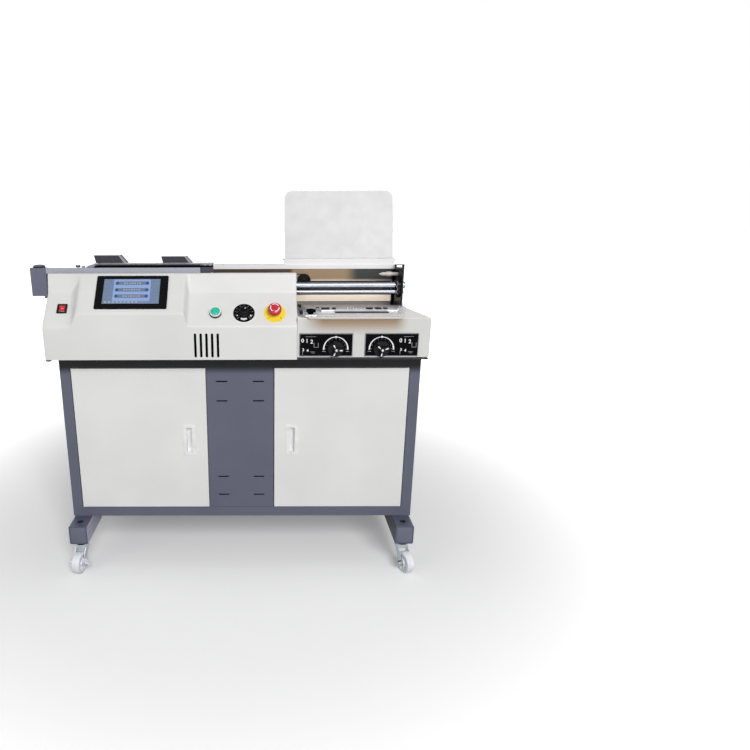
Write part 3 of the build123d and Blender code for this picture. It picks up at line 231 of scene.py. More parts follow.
def tube(points, radius, steps=16):
    """A round bar along a path of points in metres: at each one a circle across the path, its
    axes carried along by projection so that it doesn't twist."""
    points = np.asarray(points, float)
    ahead = np.gradient(points, axis=0)
    ahead /= np.linalg.norm(ahead, axis=1, keepdims=True)
    helper = np.array([0.0, 0.0, 1.0]) if abs(ahead[0, 2]) < 0.9 else np.array([1.0, 0.0, 0.0])
    side = np.cross(ahead, helper)
    side /= np.linalg.norm(side, axis=1, keepdims=True)
    up = np.cross(side, ahead)
    angle = np.linspace(0, 2 * np.pi, steps, endpoint=False)
    radius = np.broadcast_to(np.asarray(radius, float), len(points))[:, None, None] * MM
    rings = points[:, None] + radius * (np.cos(angle)[None, :, None] * side[:, None]
                                        + np.sin(angle)[None, :, None] * up[:, None])
    return net(rings)


def straight(spot, start, end, count):
    """Points in metres, evenly along a straight line between two local places."""
    return spot(np.linspace(np.asarray(start, float), np.asarray(end, float), count))


def words(spot, text, size, x=0.0, y=0.0, high=0.15, bold=0.0):
    """A digit or mark as a thin raised shape, centred at local (x, y)."""
    curve = bpy.data.curves.new("mark", "FONT")
    curve.body, curve.size, curve.extrude, curve.offset = text, size, high / 2, bold * size
    curve.align_x, curve.align_y = "CENTER", "CENTER"
    curve.resolution_u = 3
    holder = bpy.data.objects.new("mark", curve)
    mesh = bpy.data.meshes.new_from_object(holder)
    flat = np.zeros(len(mesh.vertices) * 3)
    mesh.vertices.foreach_get("co", flat)
    faces = [list(p.vertices) for p in mesh.polygons]
    bpy.data.objects.remove(holder)
    bpy.data.meshes.remove(mesh)
    bpy.data.curves.remove(curve)
    return spot(flat.reshape(-1, 3) + np.array([x, y, high / 2])), faces


def make(name, parts, material, body="machine", smooth=38, bevel=0.0, replaces=(), tidy=True):
    """Joins (points, faces) parts into one piece with a finish that rides on a body, and hides the CAD nodes it
    replaces."""
    count, points, faces = 0, [], []
    for part_points, part_faces in parts:
        points.append(part_points)
        faces += [[i + count for i in face] for face in part_faces]
        count += len(part_points)
    mesh = bpy.data.meshes.new(name)
    mesh.from_pydata(np.concatenate(points).tolist(), [], faces)
    if tidy:
        work = bmesh.new()
        work.from_mesh(mesh)
        bmesh.ops.remove_doubles(work, verts=work.verts, dist=1e-6)
        bmesh.ops.dissolve_degenerate(work, dist=1e-7, edges=work.edges)
        bmesh.ops.recalc_face_normals(work, faces=work.faces)
        work.to_mesh(mesh)
        work.free()
    mesh.update()
    mesh.shade_smooth()
    mesh.set_sharp_from_angle(angle=math.radians(smooth))
    piece = bpy.data.objects.new(name, mesh)
    bpy.context.scene.collection.objects.link(piece)
    mesh.materials.append(material)
    if bevel:
        rounding = piece.modifiers.new("rims", "BEVEL")
        rounding.width = bevel * MM
        rounding.segments = 2
        rounding.limit_method = "ANGLE"
        rounding.angle_limit = math.radians(40)
        rounding.harden_normals = True
    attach(piece, body)
    if replaces:
        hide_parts(*replaces)
    return piece


def settle(piece):
    """Applies a piece's modifiers, so that nothing else is needed to make its shape."""
    graph = bpy.context.evaluated_depsgraph_get()
    finished = bpy.data.meshes.new_from_object(piece.evaluated_get(graph))
    piece.modifiers.clear()
    old, piece.data = piece.data, finished
    bpy.data.meshes.remove(old)


# Finishes

def colour(r, g, b):
    """Linear colour of a shade given as it looks on a screen, 0 to 255."""
    return tuple(c / 12.92 if c <= 0.04045 else ((c + 0.055) / 1.055) ** 2.4
                 for c in (r / 255, g / 255, b / 255)) + (1.0,)


def blank(name):
    """A new material with its shader and a coordinate node in the piece's own metres."""
    material = bpy.data.materials.new(name)
    material.use_nodes = True
    nodes, links = material.node_tree.nodes, material.node_tree.links
    shader = nodes["Principled BSDF"]
    coordinates = nodes.new("ShaderNodeTexCoord")
    return material, nodes, links, shader, coordinates.outputs["Object"]


def noise(nodes, links, source, scale, detail=2.0, stretch=None):
    """A noise pattern of so many cells a metre; stretch multiplies the cells along each axis."""
    if stretch:
        mapping = nodes.new("ShaderNodeMapping")
        mapping.inputs["Scale"].default_value = stretch
        links.new(source, mapping.inputs["Vector"])
        source = mapping.outputs["Vector"]
    pattern = nodes.new("ShaderNodeTexNoise")
    pattern.inputs["Scale"].default_value = scale
    pattern.inputs["Detail"].default_value = detail
    links.new(source, pattern.inputs["Vector"])
    return pattern.outputs["Fac"]


def ranged(nodes, links, value, start, end, low=0.0, high=1.0, smooth=False):
    """The value's reach from start to end carried over to low to high, straight or in a smooth step."""
    node = nodes.new("ShaderNodeMapRange")
    if smooth:
        node.interpolation_type = "SMOOTHSTEP"
    for socket, number in zip(("From Min", "From Max", "To Min", "To Max"), (start, end, low, high)):
        node.inputs[socket].default_value = number
    links.new(value, node.inputs["Value"])
    return node.outputs["Result"]


def spread(nodes, links, value, low, high):
    """The pattern's middle range stretched over low to high."""
    return ranged(nodes, links, value, 0.3, 0.7, low, high)


def reckon(nodes, links, operation, first, second):
    """Two values taken together by an operation."""
    node = nodes.new("ShaderNodeMath")
    node.operation = operation
    links.new(first, node.inputs[0])
    links.new(second, node.inputs[1])
    return node.outputs[0]


def tint(nodes, links, factor, first, second):
    """A colour between two, by the factor; the first may come from another node."""
    mix = nodes.new("ShaderNodeMix")
    mix.data_type = "RGBA"
    if isinstance(first, tuple):
        mix.inputs["A"].default_value = first
    else:
        links.new(first, mix.inputs["A"])
    mix.inputs["B"].default_value = second
    links.new(factor, mix.inputs["Factor"])
    return mix.outputs["Result"]


def relief(nodes, links, shader, height, depth, strength):
    """Bump on the shader from a height pattern, so many millimetres deep."""
    bump = nodes.new("ShaderNodeBump")
    bump.inputs["Strength"].default_value = strength
    bump.inputs["Distance"].default_value = depth * MM
    links.new(height, bump.inputs["Height"])
    links.new(bump.outputs["Normal"], shader.inputs["Normal"])


def shade(base, factor):
    """The colour made darker or lighter by a factor."""
    return tuple(min(1.0, c * factor) for c in base[:3]) + (1.0,)


def powder_coat(name, base, gloss=0.42, peel=0.05, cells=420.0, drift=0.05, shine=0.5):
    """Powder-coated sheet: a faint orange peel, slow drift of tone and patches of gloss."""
    material, nodes, links, shader, spot = blank(name)
    base = colour(*base)
    tone = spread(nodes, links, noise(nodes, links, spot, 5.0, 3.0), 0.0, 1.0)
    links.new(tint(nodes, links, tone, shade(base, 1 - drift), shade(base, 1 + drift / 2)),
              shader.inputs["Base Color"])
    links.new(spread(nodes, links, noise(nodes, links, spot, 28.0, 4.0), gloss - 0.05, gloss + 0.06),
              shader.inputs["Roughness"])
    relief(nodes, links, shader, noise(nodes, links, spot, cells, 2.0), peel, 0.6)
    shader.inputs["Specular IOR Level"].default_value = shine
    return material


def moulded(name, base, gloss=0.35, grain=0.02, cells=900.0, drift=0.08, light=0.0, soft=0.0, shine=0.5):
    """Moulded plastic: fine spark-eroded grain, slight change of tone, and a glow where light is given: a
    lamp's, or painted light.
    """
    material, nodes, links, shader, spot = blank(name)
    base = colour(*base)
    tone = spread(nodes, links, noise(nodes, links, spot, 40.0, 3.0), 0.0, 1.0)
    links.new(tint(nodes, links, tone, shade(base, 1 - drift), shade(base, 1 + drift)),
              shader.inputs["Base Color"])
    links.new(spread(nodes, links, noise(nodes, links, spot, 120.0, 3.0), gloss - 0.06, gloss + 0.08),
              shader.inputs["Roughness"])
    relief(nodes, links, shader, noise(nodes, links, spot, cells, 2.0), grain, 0.5)
    shader.inputs["Specular IOR Level"].default_value = shine
    if light:
        shader.inputs["Emission Color"].default_value = base
        shader.inputs["Emission Strength"].default_value = light
    if soft:
        shader.inputs["Subsurface Weight"].default_value = soft
        shader.inputs["Subsurface Radius"].default_value = (0.004, 0.004, 0.004)
    return material


def metal(name, base, gloss=0.3, grain=(1.0, 1.0, 1.0), cells=300.0, depth=0.01, drift=0.12, streak=0.1):
    """Bare or plated metal: long streaks along its grain in tone, gloss and height."""
    material, nodes, links, shader, spot = blank(name)
    base = colour(*base)
    shader.inputs["Metallic"].default_value = 1.0
    streaks = noise(nodes, links, spot, cells, 3.0, grain)
    tone = spread(nodes, links, streaks, 0.0, 1.0)
    links.new(tint(nodes, links, tone, shade(base, 1 - drift), shade(base, 1 + drift / 2)),
              shader.inputs["Base Color"])
    polish = noise(nodes, links, spot, cells * 0.7, 2.0, grain)
    links.new(spread(nodes, links, polish, gloss - streak / 2, gloss + streak), shader.inputs["Roughness"])
    relief(nodes, links, shader, streaks, depth, 0.5)
    return material


X, Y, Z, LEVEL = range(4)


def toned(material, second, *bands):
    """A coat that turns to a second colour where all its bands meet. A band is an axis and the two
    places on it, in the machine's millimetres, where the share is 0 and where it is 1, with a smooth
    step between; the axis LEVEL takes the upward share of the surface's normal, in thousandths."""
    nodes, links = material.node_tree.nodes, material.node_tree.links
    shader = nodes["Principled BSDF"]
    spot = next(n for n in nodes if n.type == "TEX_COORD").outputs["Object"]
    share = None
    for axis, none, full in bands:
        split = nodes.new("ShaderNodeSeparateXYZ")
        lies = axis == LEVEL
        links.new(nodes.new("ShaderNodeNewGeometry").outputs["Normal"] if lies else spot, split.inputs[0])
        start = 0.0 if lies else ORIGIN[axis]
        band = ranged(nodes, links, split.outputs[Z if lies else axis], start + none * MM, start + full * MM,
                      smooth=True)
        share = band if share is None else reckon(nodes, links, "MULTIPLY", share, band)
    first = shader.inputs["Base Color"].links[0].from_socket
    links.new(tint(nodes, links, share, first, colour(*second)), shader.inputs["Base Color"])
    return material


off_white = powder_coat("off_white_coat", (223, 223, 221), 0.44)
door_white = powder_coat("door_white_coat", (231, 231, 229), 0.46)
lid_white = powder_coat("lid_white_coat", (214, 214, 214), 0.44)
# The top beam's white is lighter than the console's: painted light, for the shade the beam stands in at the
# back.
beam_white_lightened = powder_coat("beam_white_coat", (252, 252, 252), 0.44)
wall_cream = powder_coat("wall_cream_coat", (250, 238, 222), 0.45)
# Painted shade on the inner wall: above the rods it turns tan for the shade under the beam. Right of X 322 it
# is near black there, and left of X 168 dark brown.
above_rods = (Z, 856, 866)
toned(wall_cream, (166, 139, 110), above_rods)
toned(wall_cream, (46, 49, 47), above_rods, (X, 322, 372))
toned(wall_cream, (72, 54, 42), above_rods, (X, 168, 150))
station_coat = powder_coat("station_coat", (214, 214, 211), 0.44)
# Painted shade and light on the cover station's box: a warm tan shadow on its front under the table's lip, and
# lighter faces where they look upward.
toned(station_coat, (150, 126, 98), (Z, 744, 793), (Y, -55, -57), (X, 164, 240), (X, 470, 425))
toned(station_coat, (246, 243, 240), (LEVEL, 588, 938))
grey_blue = powder_coat("grey_blue_coat", (99, 102, 119), 0.42, peel=0.08, drift=0.08)
frame_coat = powder_coat("frame_coat", (101, 103, 119), 0.42, peel=0.08, drift=0.08, shine=0.2)
# Painted shadow: the frame turns near black above Z 618 to 650, where the console overhangs its top rail.
toned(frame_coat, (6, 6, 6), (Z, 618, 650))
rail_grey = powder_coat("rail_grey_coat", (166, 166, 179), 0.4, peel=0.06, drift=0.08)
bracket_grey = powder_coat("bracket_grey_coat", (94, 97, 116), 0.4, peel=0.06, drift=0.08)
carriage_grey = powder_coat("carriage_grey_coat", (62, 60, 70), 0.42, peel=0.05, drift=0.1, shine=0.3)
toned(carriage_grey, (128, 130, 146), (X, -409, -414))
support_grey = powder_coat("support_grey_coat", (60, 58, 66), 0.42, peel=0.05, drift=0.1, shine=0.3)
black_coat = powder_coat("black_coat", (17, 17, 20), 0.36, peel=0.05, drift=0.2, shine=0.14)
dark_pan = powder_coat("dark_pan_coat", (40, 39, 44), 0.5, shine=0.3)
zinc = metal("zinc_plate", (190, 200, 206), 0.28, cells=160.0, depth=0.02)
chrome = metal("hard_chrome", (142, 146, 157), 0.18, (0.15, 6.0, 6.0), 500.0, 0.0004, 0.03, 0.01)
# Painted reflections on the guide rods: darker below Z 849, and dark bands at Z 849.5 between the rods and at Z
# 867 along the upper rod's top.
toned(chrome, (112, 115, 122), (Z, 849, 846))
for side, middle, far in ((853.5, 849.5, 845.5), (864.0, 867.0, 870.0)):
    toned(chrome, (40, 43, 52), (Z, side, middle), (Z, far, middle))
bright_ring = metal("bright_ring", (226, 228, 230), 0.14, cells=200.0, depth=0.003, drift=0.04, streak=0.05)
table_metal = metal("table_plate", (211, 209, 210), 0.42, (0.05, 1.0, 1.0), 700.0, 0.002, 0.06)
toned(table_metal, (158, 151, 143), (Z, 800.2, 799.8))
bar_paint = powder_coat("bar_paint", (222, 220, 221), 0.4)
cut_steel = metal("cut_steel", (168, 170, 176), 0.28, (1.0, 0.1, 1.0), 400.0, 0.006)
bolt_steel = metal("bolt_steel", (176, 180, 188), 0.25, cells=260.0, depth=0.006)
cast_grey = powder_coat("cast_grey_coat", (120, 124, 128), 0.55, peel=0.2, cells=300.0)
black_plastic = moulded("black_plastic", (17, 17, 19), 0.36, shine=0.14)
bezel_black = moulded("bezel_black", (9, 9, 12), 0.24, grain=0.004, shine=0.07)
plate_black = moulded("plate_black", (7, 7, 9), 0.5, grain=0.006, shine=0.03)
pull_white = moulded("pull_white", (236, 236, 236), 0.34)
wheel_white = moulded("wheel_nylon", (238, 240, 246), 0.3, grain=0.01, soft=0.15)
rubber = moulded("bumper_rubber", (24, 24, 25), 0.62, grain=0.05, shine=0.25)
stop_red = moulded("stop_red", (196, 14, 42), 0.24, grain=0.003, drift=0.04)
key_red = moulded("key_red", (186, 18, 32), 0.22, grain=0.003, light=0.06)
start_green = moulded("start_green", (14, 176, 148), 0.24, grain=0.003, light=0.1)
signal_yellow = moulded("signal_yellow", (246, 220, 58), 0.34, grain=0.01, drift=0.03)
mark_white = moulded("mark_white", (240, 240, 240), 0.5, grain=0.004)
slot_black = moulded("slot_black", (9, 9, 10), 0.85, grain=0.02, shine=0.02)
clamp_face = powder_coat("clamp_face_coat", (160, 158, 166), 0.36, peel=0.03)
mark_grey = moulded("mark_grey", (150, 150, 156), 0.5, grain=0.004)
belt_black = moulded("belt_black", (18, 18, 19), 0.6, grain=0.04, shine=0.25)


# The CAD nodes that stay take these finishes
foot_coat = powder_coat("foot_coat", (79, 83, 103), 0.42, peel=0.08, drift=0.08)
# Painted light and shade on the feet: the left foot's inner face is lighter and the right foot's inner face
# near black, as if lit from the right.
for side, second in ((-1, (176, 176, 194)), (1, (24, 24, 28))):
    toned(foot_coat, second, (X, side * 464.6, side * 464.2), (X, side * 440, side * 441))
screen_back = moulded("screen_back", (120, 132, 146), 0.12, grain=0.001, light=0.25)
node_finish = {name: finish for finish, names in (
    (frame_coat, "cabinet_frame centre_panel"), (grey_blue, "cabinet_panels"),
    (foot_coat, "foot_tubes foot_caps"), (door_white, "door_left door_right"),
    (pull_white, "door_pull_left door_pull_right"), (zinc, "castor_stems"), (dark_pan, "base_pan"),
    (cut_steel, "hinge_pins clamp_jaw nip_plate_rear milling_cutter glue_roller_left glue_roller_right"),
    (off_white, "front_cover rear_cover"), (station_coat, "station_box"), (wall_cream, "inner_wall"),
    (beam_white_lightened, "top_beam"), (lid_white, "lid"), (black_coat, "end_plate"), (chrome, "guide_rods"),
    (bracket_grey, "left_bracket"), (rail_grey, "rail_bar"), (carriage_grey, "clamp_carriage"),
    (support_grey, "book_supports"), (bezel_black, "hmi_bezel"), (screen_back, "hmi_screen"),
    (key_red, "rocker"), (bright_ring, "button_collar"), (start_green, "button_cap"),
    (plate_black, "speed_scale dial_plates"), (signal_yellow, "estop_collar"), (stop_red, "estop_head"),
    (table_metal, "cover_table nip_plate_front glue_tank"), (cast_grey, "motors"),
    (black_plastic, "rocker_housing speed_knob dial_left dial_right star_knob idler_pulley drive_pulley"),
    (black_plastic, "power_inlet")) for name in names.split()}
for name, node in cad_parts.items():
    castor_finish = zinc if name.startswith("castor_fork") else wheel_white
    node.data.materials.clear()
    node.data.materials.append(node_finish.get(name, castor_finish))


# Console cover: one moulding, low at both ends and raised round the screen

def ramp(x, start, end, round_off):
    """0 before start and 1 after end, straight between, with both ends rounded: the difference of
    two hyperbolas (t + sqrt(t^2 + w^2)) / 2 over the ramp's length."""
    bent = lambda t: (t + np.sqrt(t * t + round_off * round_off)) / 2
    return (bent(x - start) - bent(x - end)) / (end - start)


def softened(corners, reach, steps=7):
    """Each corner of a line becomes a curve between the points that lie `reach` before and after
    it: (1-s)^2 a + 2s(1-s) corner + s^2 b. The two ends stay."""
    before, corner, after = corners[..., :-2, :], corners[..., 1:-1, :], corners[..., 2:, :]
    def short_of(point):
        along = point - corner
        return corner + along * (reach[..., None] / np.linalg.norm(along, axis=-1, keepdims=True))

    a, b = short_of(before)[..., None, :], short_of(after)[..., None, :]
    s = np.linspace(0, 1, steps)[:, None]
    curves = (1 - s) ** 2 * a + 2 * s * (1 - s) * corner[..., None, :] + s ** 2 * b
    curves = curves.reshape(*corners.shape[:-2], -1, 2)
    return np.concatenate([corners[..., :1, :], curves, corners[..., -1:, :]], -2)


def cover_corners(raised, at_ridge):
    """Corner points (y, z) of the cover's profile where the block is raised by a share 0 to 1; the
    share is given for the bend and for the ridge."""
    share = (BEND[0] - FACE_Y) / (TOP[0] - FACE_Y)
    block_bend = BLOCK_RIDGE_Z + share * (TOP[1] - BLOCK_RIDGE_Z)
    one = np.ones_like(raised)
    return np.stack([
        np.stack([FACE_Y * one, FACE_LOW * one], -1),
        np.stack([FACE_Y * one, RIDGE_Z + at_ridge * (BLOCK_RIDGE_Z - RIDGE_Z)], -1),
        np.stack([BEND[0] * one, BEND[1] + raised * (block_bend - BEND[1])], -1),
        np.stack([TOP[0] * one, TOP[1] * one], -1),
        np.stack([BACK_Y * one, TOP[1] * one], -1),
        np.stack([BACK_Y * one, BACK_LOW * one], -1),
    ], -2)


def moved_in(corners, inset):
    """Corner points moved in by an inset measured square to both edges that meet there."""
    edge = np.diff(corners, axis=0)
    edge /= np.linalg.norm(edge, axis=1, keepdims=True)
    inward = np.stack([edge[:, 1], -edge[:, 0]], 1)
    first = np.concatenate([inward[:1], inward])
    second = np.concatenate([inward, inward[-1:]])
    step = (first + second) / (1 + np.sum(first * second, 1, keepdims=True))
    return corners + step * inset


END_REACH = {COVER_LEFT: np.array([13.0, 4.0, 3.5, 2.5]), COVER_RIGHT: np.array([5.5, 4.0, 3.5, 2.5])}
cover_x = np.unique(np.concatenate([
    np.linspace(COVER_LEFT + 3, COVER_RIGHT - 3, 60),
    np.linspace(BLOCK_LEFT - LEFT_BLEND - 10, BLOCK_LEFT + 10, 45),
    np.linspace(BLOCK_RIGHT - 8, BLOCK_RIGHT + RIGHT_BLEND + 8, 35),
]))
right_ramp = ramp(cover_x, BLOCK_RIGHT, BLOCK_RIGHT + RIGHT_BLEND, 2.5)
raised = ramp(cover_x, BLOCK_LEFT - LEFT_BLEND, BLOCK_LEFT, 4.0) - right_ramp
at_ridge = ramp(cover_x, BLOCK_LEFT - RIDGE_BLEND, BLOCK_LEFT - 1, 5.0) - right_ramp
low_left = 1 - ramp(cover_x, BLOCK_LEFT - LEFT_BLEND - 14, BLOCK_LEFT - 4, 6.0)
cover_reach = END_REACH[COVER_RIGHT] + low_left[:, None] * (END_REACH[COVER_LEFT] - END_REACH[COVER_RIGHT])
profile = softened(cover_corners(raised, at_ridge), cover_reach)
stations = np.broadcast_to(cover_x[:, None, None], profile.shape[:2] + (1,))
shell_rows = [np.concatenate([stations, profile], -1)]
turn_in = np.radians(np.linspace(0, 90, 6))
end_corners = cover_corners(np.zeros(1), np.zeros(1))[0]
for end, inward, order in ((COVER_LEFT, 1, slice(None, None, -1)), (COVER_RIGHT, -1, slice(None))):
    arcs = [np.concatenate([np.full((profile.shape[1], 1), end + inward * 3 * (1 - math.sin(a))),
                            softened(moved_in(end_corners, 3 * (1 - math.cos(a))), END_REACH[end])], 1)
            for a in turn_in][1:]
    rows = np.stack(arcs)[order]
    shell_rows.insert(0 if inward > 0 else len(shell_rows), rows)
shell = np.concatenate(shell_rows)
points, faces = net(at(shell), wrap_columns=False)
columns = shell.shape[1]
faces = [face[::-1] for face in faces]
faces.append(list(range(columns)))
faces.append(list(range(len(points) - columns, len(points)))[::-1])
cover = make("console_cover", [(points, faces)], off_white, smooth=50,
             replaces=("front_cover",), tidy=False)
wall = cover.modifiers.new("wall", "SOLIDIFY")
wall.thickness = 2 * MM
wall.offset = -1
slots = []
for step in range(5):
    outline = np.concatenate([arc(3.5, 0, 180, 13, (0, 30.6)), arc(3.5, 180, 360, 13, (0, -30.6))])
    slots.append(prism(facing(-119.4 + 15.6 * step, FACE_Y, 721.2), outline, -8, 4))
cutter = make("slot_cutter", slots, off_white)
cut = cover.modifiers.new("grille", "BOOLEAN")
cut.object = cutter
cut.solver = "EXACT"
settle(cover)
cover.data.shade_smooth()
cover.data.set_sharp_from_angle(angle=math.radians(30))
bpy.data.objects.remove(cutter)
# A black panel behind the grille's slots: painted shade for the console's dark inside.
make("grille_painted_shade", [prism(facing(-88, -53, 721.2), rectangle(94, 78, 2), 0.0, 2.1)], slot_black)

# Small parts used in many places

def screw(spot, radius, high, socket=True, steps=24):
    """A round-headed screw: its rim is rounded and its socket, if it has one, is six-sided."""
    rows = [(radius, 0.0)] + [(radius - inset, z) for inset, z in quarter_arc(min(0.35 * high, 1.2), 0, high)]
    if socket:
        key = sided(radius * 0.5, 6, steps)
        rows += [(key * 1.02, high), (key, high - 0.12), (key, high * 0.45)]
    return turned(spot, rows, steps)


def nut(spot, radius, high, bore=0.0, steps=48):
    """A hexagonal nut with chamfered corners, and the rounded end of its bolt standing out of it."""
    flat = sided(radius, 6, steps)
    top = np.minimum(flat, radius * 0.93)
    rows = [(flat, 0.0), (flat, high - 0.5), (top, high)]
    if bore:
        rows += [(bore, high), (bore, high + 1.6), (bore - 0.6, high + 2.2)]
    return turned(spot, rows, steps)


def washer(spot, outer, inner, low, high, steps=48):
    """A flat ring with small chamfers on its upper edges."""
    edge = min(0.3, (high - low) / 3)
    return ring(spot, [(inner, low), (outer, low), (outer, high - edge), (outer - edge, high),
                       (inner + edge, high), (inner, high - edge)], steps)


def stroke(spot, radius, start, end, width, low, high, count=49):
    """A flat arc-shaped mark whose width runs from width[0] at its ends to width[1] in its middle."""
    swing = np.abs(np.linspace(-1, 1, count)) ** 2.2
    return ribbon(spot, arc(radius, start, end, count), width[1] + (width[0] - width[1]) * swing, low, high)


# Screen: glass in the bezel's window and the picture on it
SCREEN = (-295.9, 69.5)
SCREEN_SIZE = (157.0, 81.0)
SCREEN_TONES = (("blue", (107, 126, 152), 0.24), ("line", (83, 98, 120), 0.21),
                ("pale", (128, 149, 192), 0.3), ("bar", (96, 110, 134), 0.24),
                ("edge", (50, 74, 128), 0.18), ("light", (165, 173, 186), 0.3))
screen_blue, screen_line, screen_pale, screen_bar, screen_edge, screen_light = (
    moulded(f"screen_{tone}", base, 0.2, grain=0.0005, drift=0.03, light=light, shine=0.3)
    for tone, base, light in SCREEN_TONES)


def on_screen(u, v, h=3.2):
    """Axes at a share u across and v down the screen, h millimetres off the panel."""
    return display(SCREEN[0] + (u - 0.5) * SCREEN_SIZE[0], SCREEN[1] + (0.5 - v) * SCREEN_SIZE[1], h)


def rule(spot, wide, tall, high):
    """A thin flat bar of a width and height."""
    half = np.array([wide / 2, tall / 2])
    return prism(spot, np.array([[-1, -1], [1, -1], [1, 1], [-1, 1]]) * half, 0, high)


make("display_glass", [slab(on_screen(0.5, 0.5, 1.0), 156.8, 80.8, 1.4, 0.0, 2.2, 0.3)], screen_blue,
     replaces=("hmi_screen",))
side_rules = []
for edge in (0.0, 0.83):
    for k in range(17):
        side_rules.append(rule(on_screen(edge + 0.086, 0.05 + k * 0.0555), 25.4, 0.7, 0.05))
    for k in range(6):
        side_rules.append(rule(on_screen(edge + 0.012 + k * 0.0295, 0.49), 0.6, 71.5, 0.06))
make("display_side_tables", side_rules, screen_line, tidy=False)
make("display_column", [rule(on_screen(0.505, 0.45), 102.0, 70.0, 0.08)], screen_pale)
bars, bar_ends, bar_marks = [], [], []
for v in (0.17, 0.44, 0.69):
    bars.append(slab(on_screen(0.505, v), 92.6, 11.3, 4.0, 0.0, 0.16, 0.05))
    for side in (-1, 1):
        bar_ends.append(slab(on_screen(0.505 + side * 0.266, v), 9.5, 9.6, 4.2, 0.0, 0.2, 0.05))
    for k in range(7):
        bar_marks.append(rule(on_screen(0.37 + k * 0.045, v), 4.6 - (k % 3), 2.6, 0.22))
make("display_bars", bars, screen_bar)
make("display_bar_ends", bar_ends, screen_edge)
lights = [rule(on_screen(0.06 + k * 0.068, 0.925), 5.4, 3.0, 0.1) for k in range(9)]
make("display_marks", bar_marks + lights, screen_light)
make("bezel_lip", [window(display(*SCREEN, 3.2), (159.4, 83.4, 2.2), (156.4, 80.4, 1.2), 0.0, 1.25, 0.3)],
     bezel_black)

CONTROL_S = 42.7
START_X, SPEED_X, STOP_X = -64, 14.9, 99.9

# Power switch: a hollowed red key with a lamp in it, in a black frame
rocker_spot = control(-490.5, 58.3)
make("rocker_frame", [window(rocker_spot, (28.6, 30.4, 2.4), (17.4, 22.6, 0.8), 0.05, 2.6, 0.7)], black_plastic)
key_v = np.linspace(-8.6, 8.6, 25)
key_u = np.array([-8.2, -7.6, -4.0, 0.0, 4.0, 7.6, 8.2])
lift = 4.0 - 2.4 * np.abs(np.sin(np.pi * (key_v + 8.6) / 17.2)) + 0.07 * key_v
dome = np.array([0.8, 0.0, -0.25, -0.35, -0.25, 0.0, 0.8])
top = np.stack([np.broadcast_to(key_u[None], (25, 7)), np.broadcast_to(key_v[:, None], (25, 7)),
                lift[:, None] - dome[None]], -1)
under = top[:, ::-1].copy()
under[..., 2] = -2.6
make("rocker_key", [net(rocker_spot(np.concatenate([top, under], 1)))], key_red, "rocker",
     replaces=("rocker",), bevel=0.3)
glow = moulded("key_glow", (255, 96, 96), 0.3, grain=0.002, light=0.5)
make("rocker_glow", [slab(control(-489.5, 58.3, 1.9), 6.5, 3.4, 1.6, 0.0, 0.6, 0.2)], glow, "rocker")

# Start button: black base, white ring and a domed green cap
start = control(START_X, CONTROL_S)
# Partly painted reflection: the black base shows as a dark crescent under the white ring, standing in for the
# dark reflection there.
base_rows = [(10.9, -1), (16.7, 0.0), (16.7, 5.6), (16.2, 6.6), (13.9, 6.6), (13.9, 1.2), (10.9, 1.2)]
make("start_base", [ring(start, base_rows, 72)], slot_black, replaces=("button_collar",))
ring_rows = [(13.0, 6.4), (16.0, 6.4), (16.2, 8.0), (15.9, 11.4), (15.0, 12.4), (13.8, 12.2), (12.9, 11.2)]
make("start_ring", [ring(start, ring_rows, 72)], pull_white)
start_rows = [(5.0, -14), (5.0, 4.6), (12.6, 4.6), (12.6, 10.2), (12.2, 10.8), (10.2, 11.0), (9.6, 11.6)] + [
    (9.2 * math.cos(t), 11.6 + 1.6 * math.sin(t)) for t in np.linspace(0.15, 1.45, 8)]
make("start_cap", [turned(start, start_rows, 72)], start_green, "start_button", replaces=("button_cap",))

# Speed dial: scale with ticks and figures, and a fluted knob with a pointer
speed, speed_top = control(SPEED_X, CONTROL_S), control(SPEED_X, CONTROL_S, 1.72)
make("speed_disc", [ring(speed, [(4.6, 0.0), (30.0, 0.0), (30.0, 1.0), (29.3, 1.7), (4.6, 1.7)], 96)],
     plate_black, replaces=("speed_scale",))
make("speed_disc_rim", [washer(speed, 30.6, 29.2, 0.02, 1.2, 96)], bright_ring)
ticks, figures = [], []
for k in range(11):
    turn = 225 - 27 * k
    ticks.append(ribbon(speed_top, [toward(turn, 18.4), toward(turn, 20.9)], 0.7 if k % 5 else 1.2, 0, 0.15))
    figures.append(words(speed_top, str(k), 5.0, *toward(turn, 24.6)))
make("speed_ticks", ticks, mark_grey)
make("speed_figures", figures, mark_grey, tidy=False)
low_mark = [ribbon(speed_top, [toward(turn, 17.2), toward(turn, 24.0 - 0.08 * abs(turn - 270))], 3.0, 0, 0.16)
            for turn in (250, 260, 270, 280, 290)]
low_mark += [screw(control(SPEED_X + x, CONTROL_S + y, 1.7), r, 0.35, False)
             for x, y, r in ((-18.5, -8.5, 1.6), (19.2, -9.5, 2.6))]
make("speed_marks", low_mark, mark_white)
flutes = 1 + 0.045 * np.cos(18 * np.linspace(0, 2 * np.pi, 180, endpoint=False))
grip = control(SPEED_X, CONTROL_S, 1.9)
knob_rows = [(3.0, -14), (3.0, 0.0), (14.6, 0.0), (15.2, 0.8), (15.2, 3.6), (14.2, 5.0), (12.6 * flutes, 5.6),
             (11.8 * flutes, 15.4), (11.2, 16.6), (10.4, 17.0), (9.8, 16.6), (9.3, 16.4)]
make("speed_knob_body", [turned(grip, knob_rows, 180)], black_plastic, "speed_knob", replaces=("speed_knob",))
make("speed_knob_cap", [turned(control(SPEED_X, CONTROL_S, 18.3), [(9.2, 0), (9.2, 0.3), (8.9, 0.5)], 72)],
     bezel_black, "speed_knob")
make("speed_pointer", [ribbon(control(SPEED_X, CONTROL_S, 18.8), [(2.2, 2.6), (6.2, 6.6)], 1.3, 0, 0.15)],
     mark_white, "speed_knob")

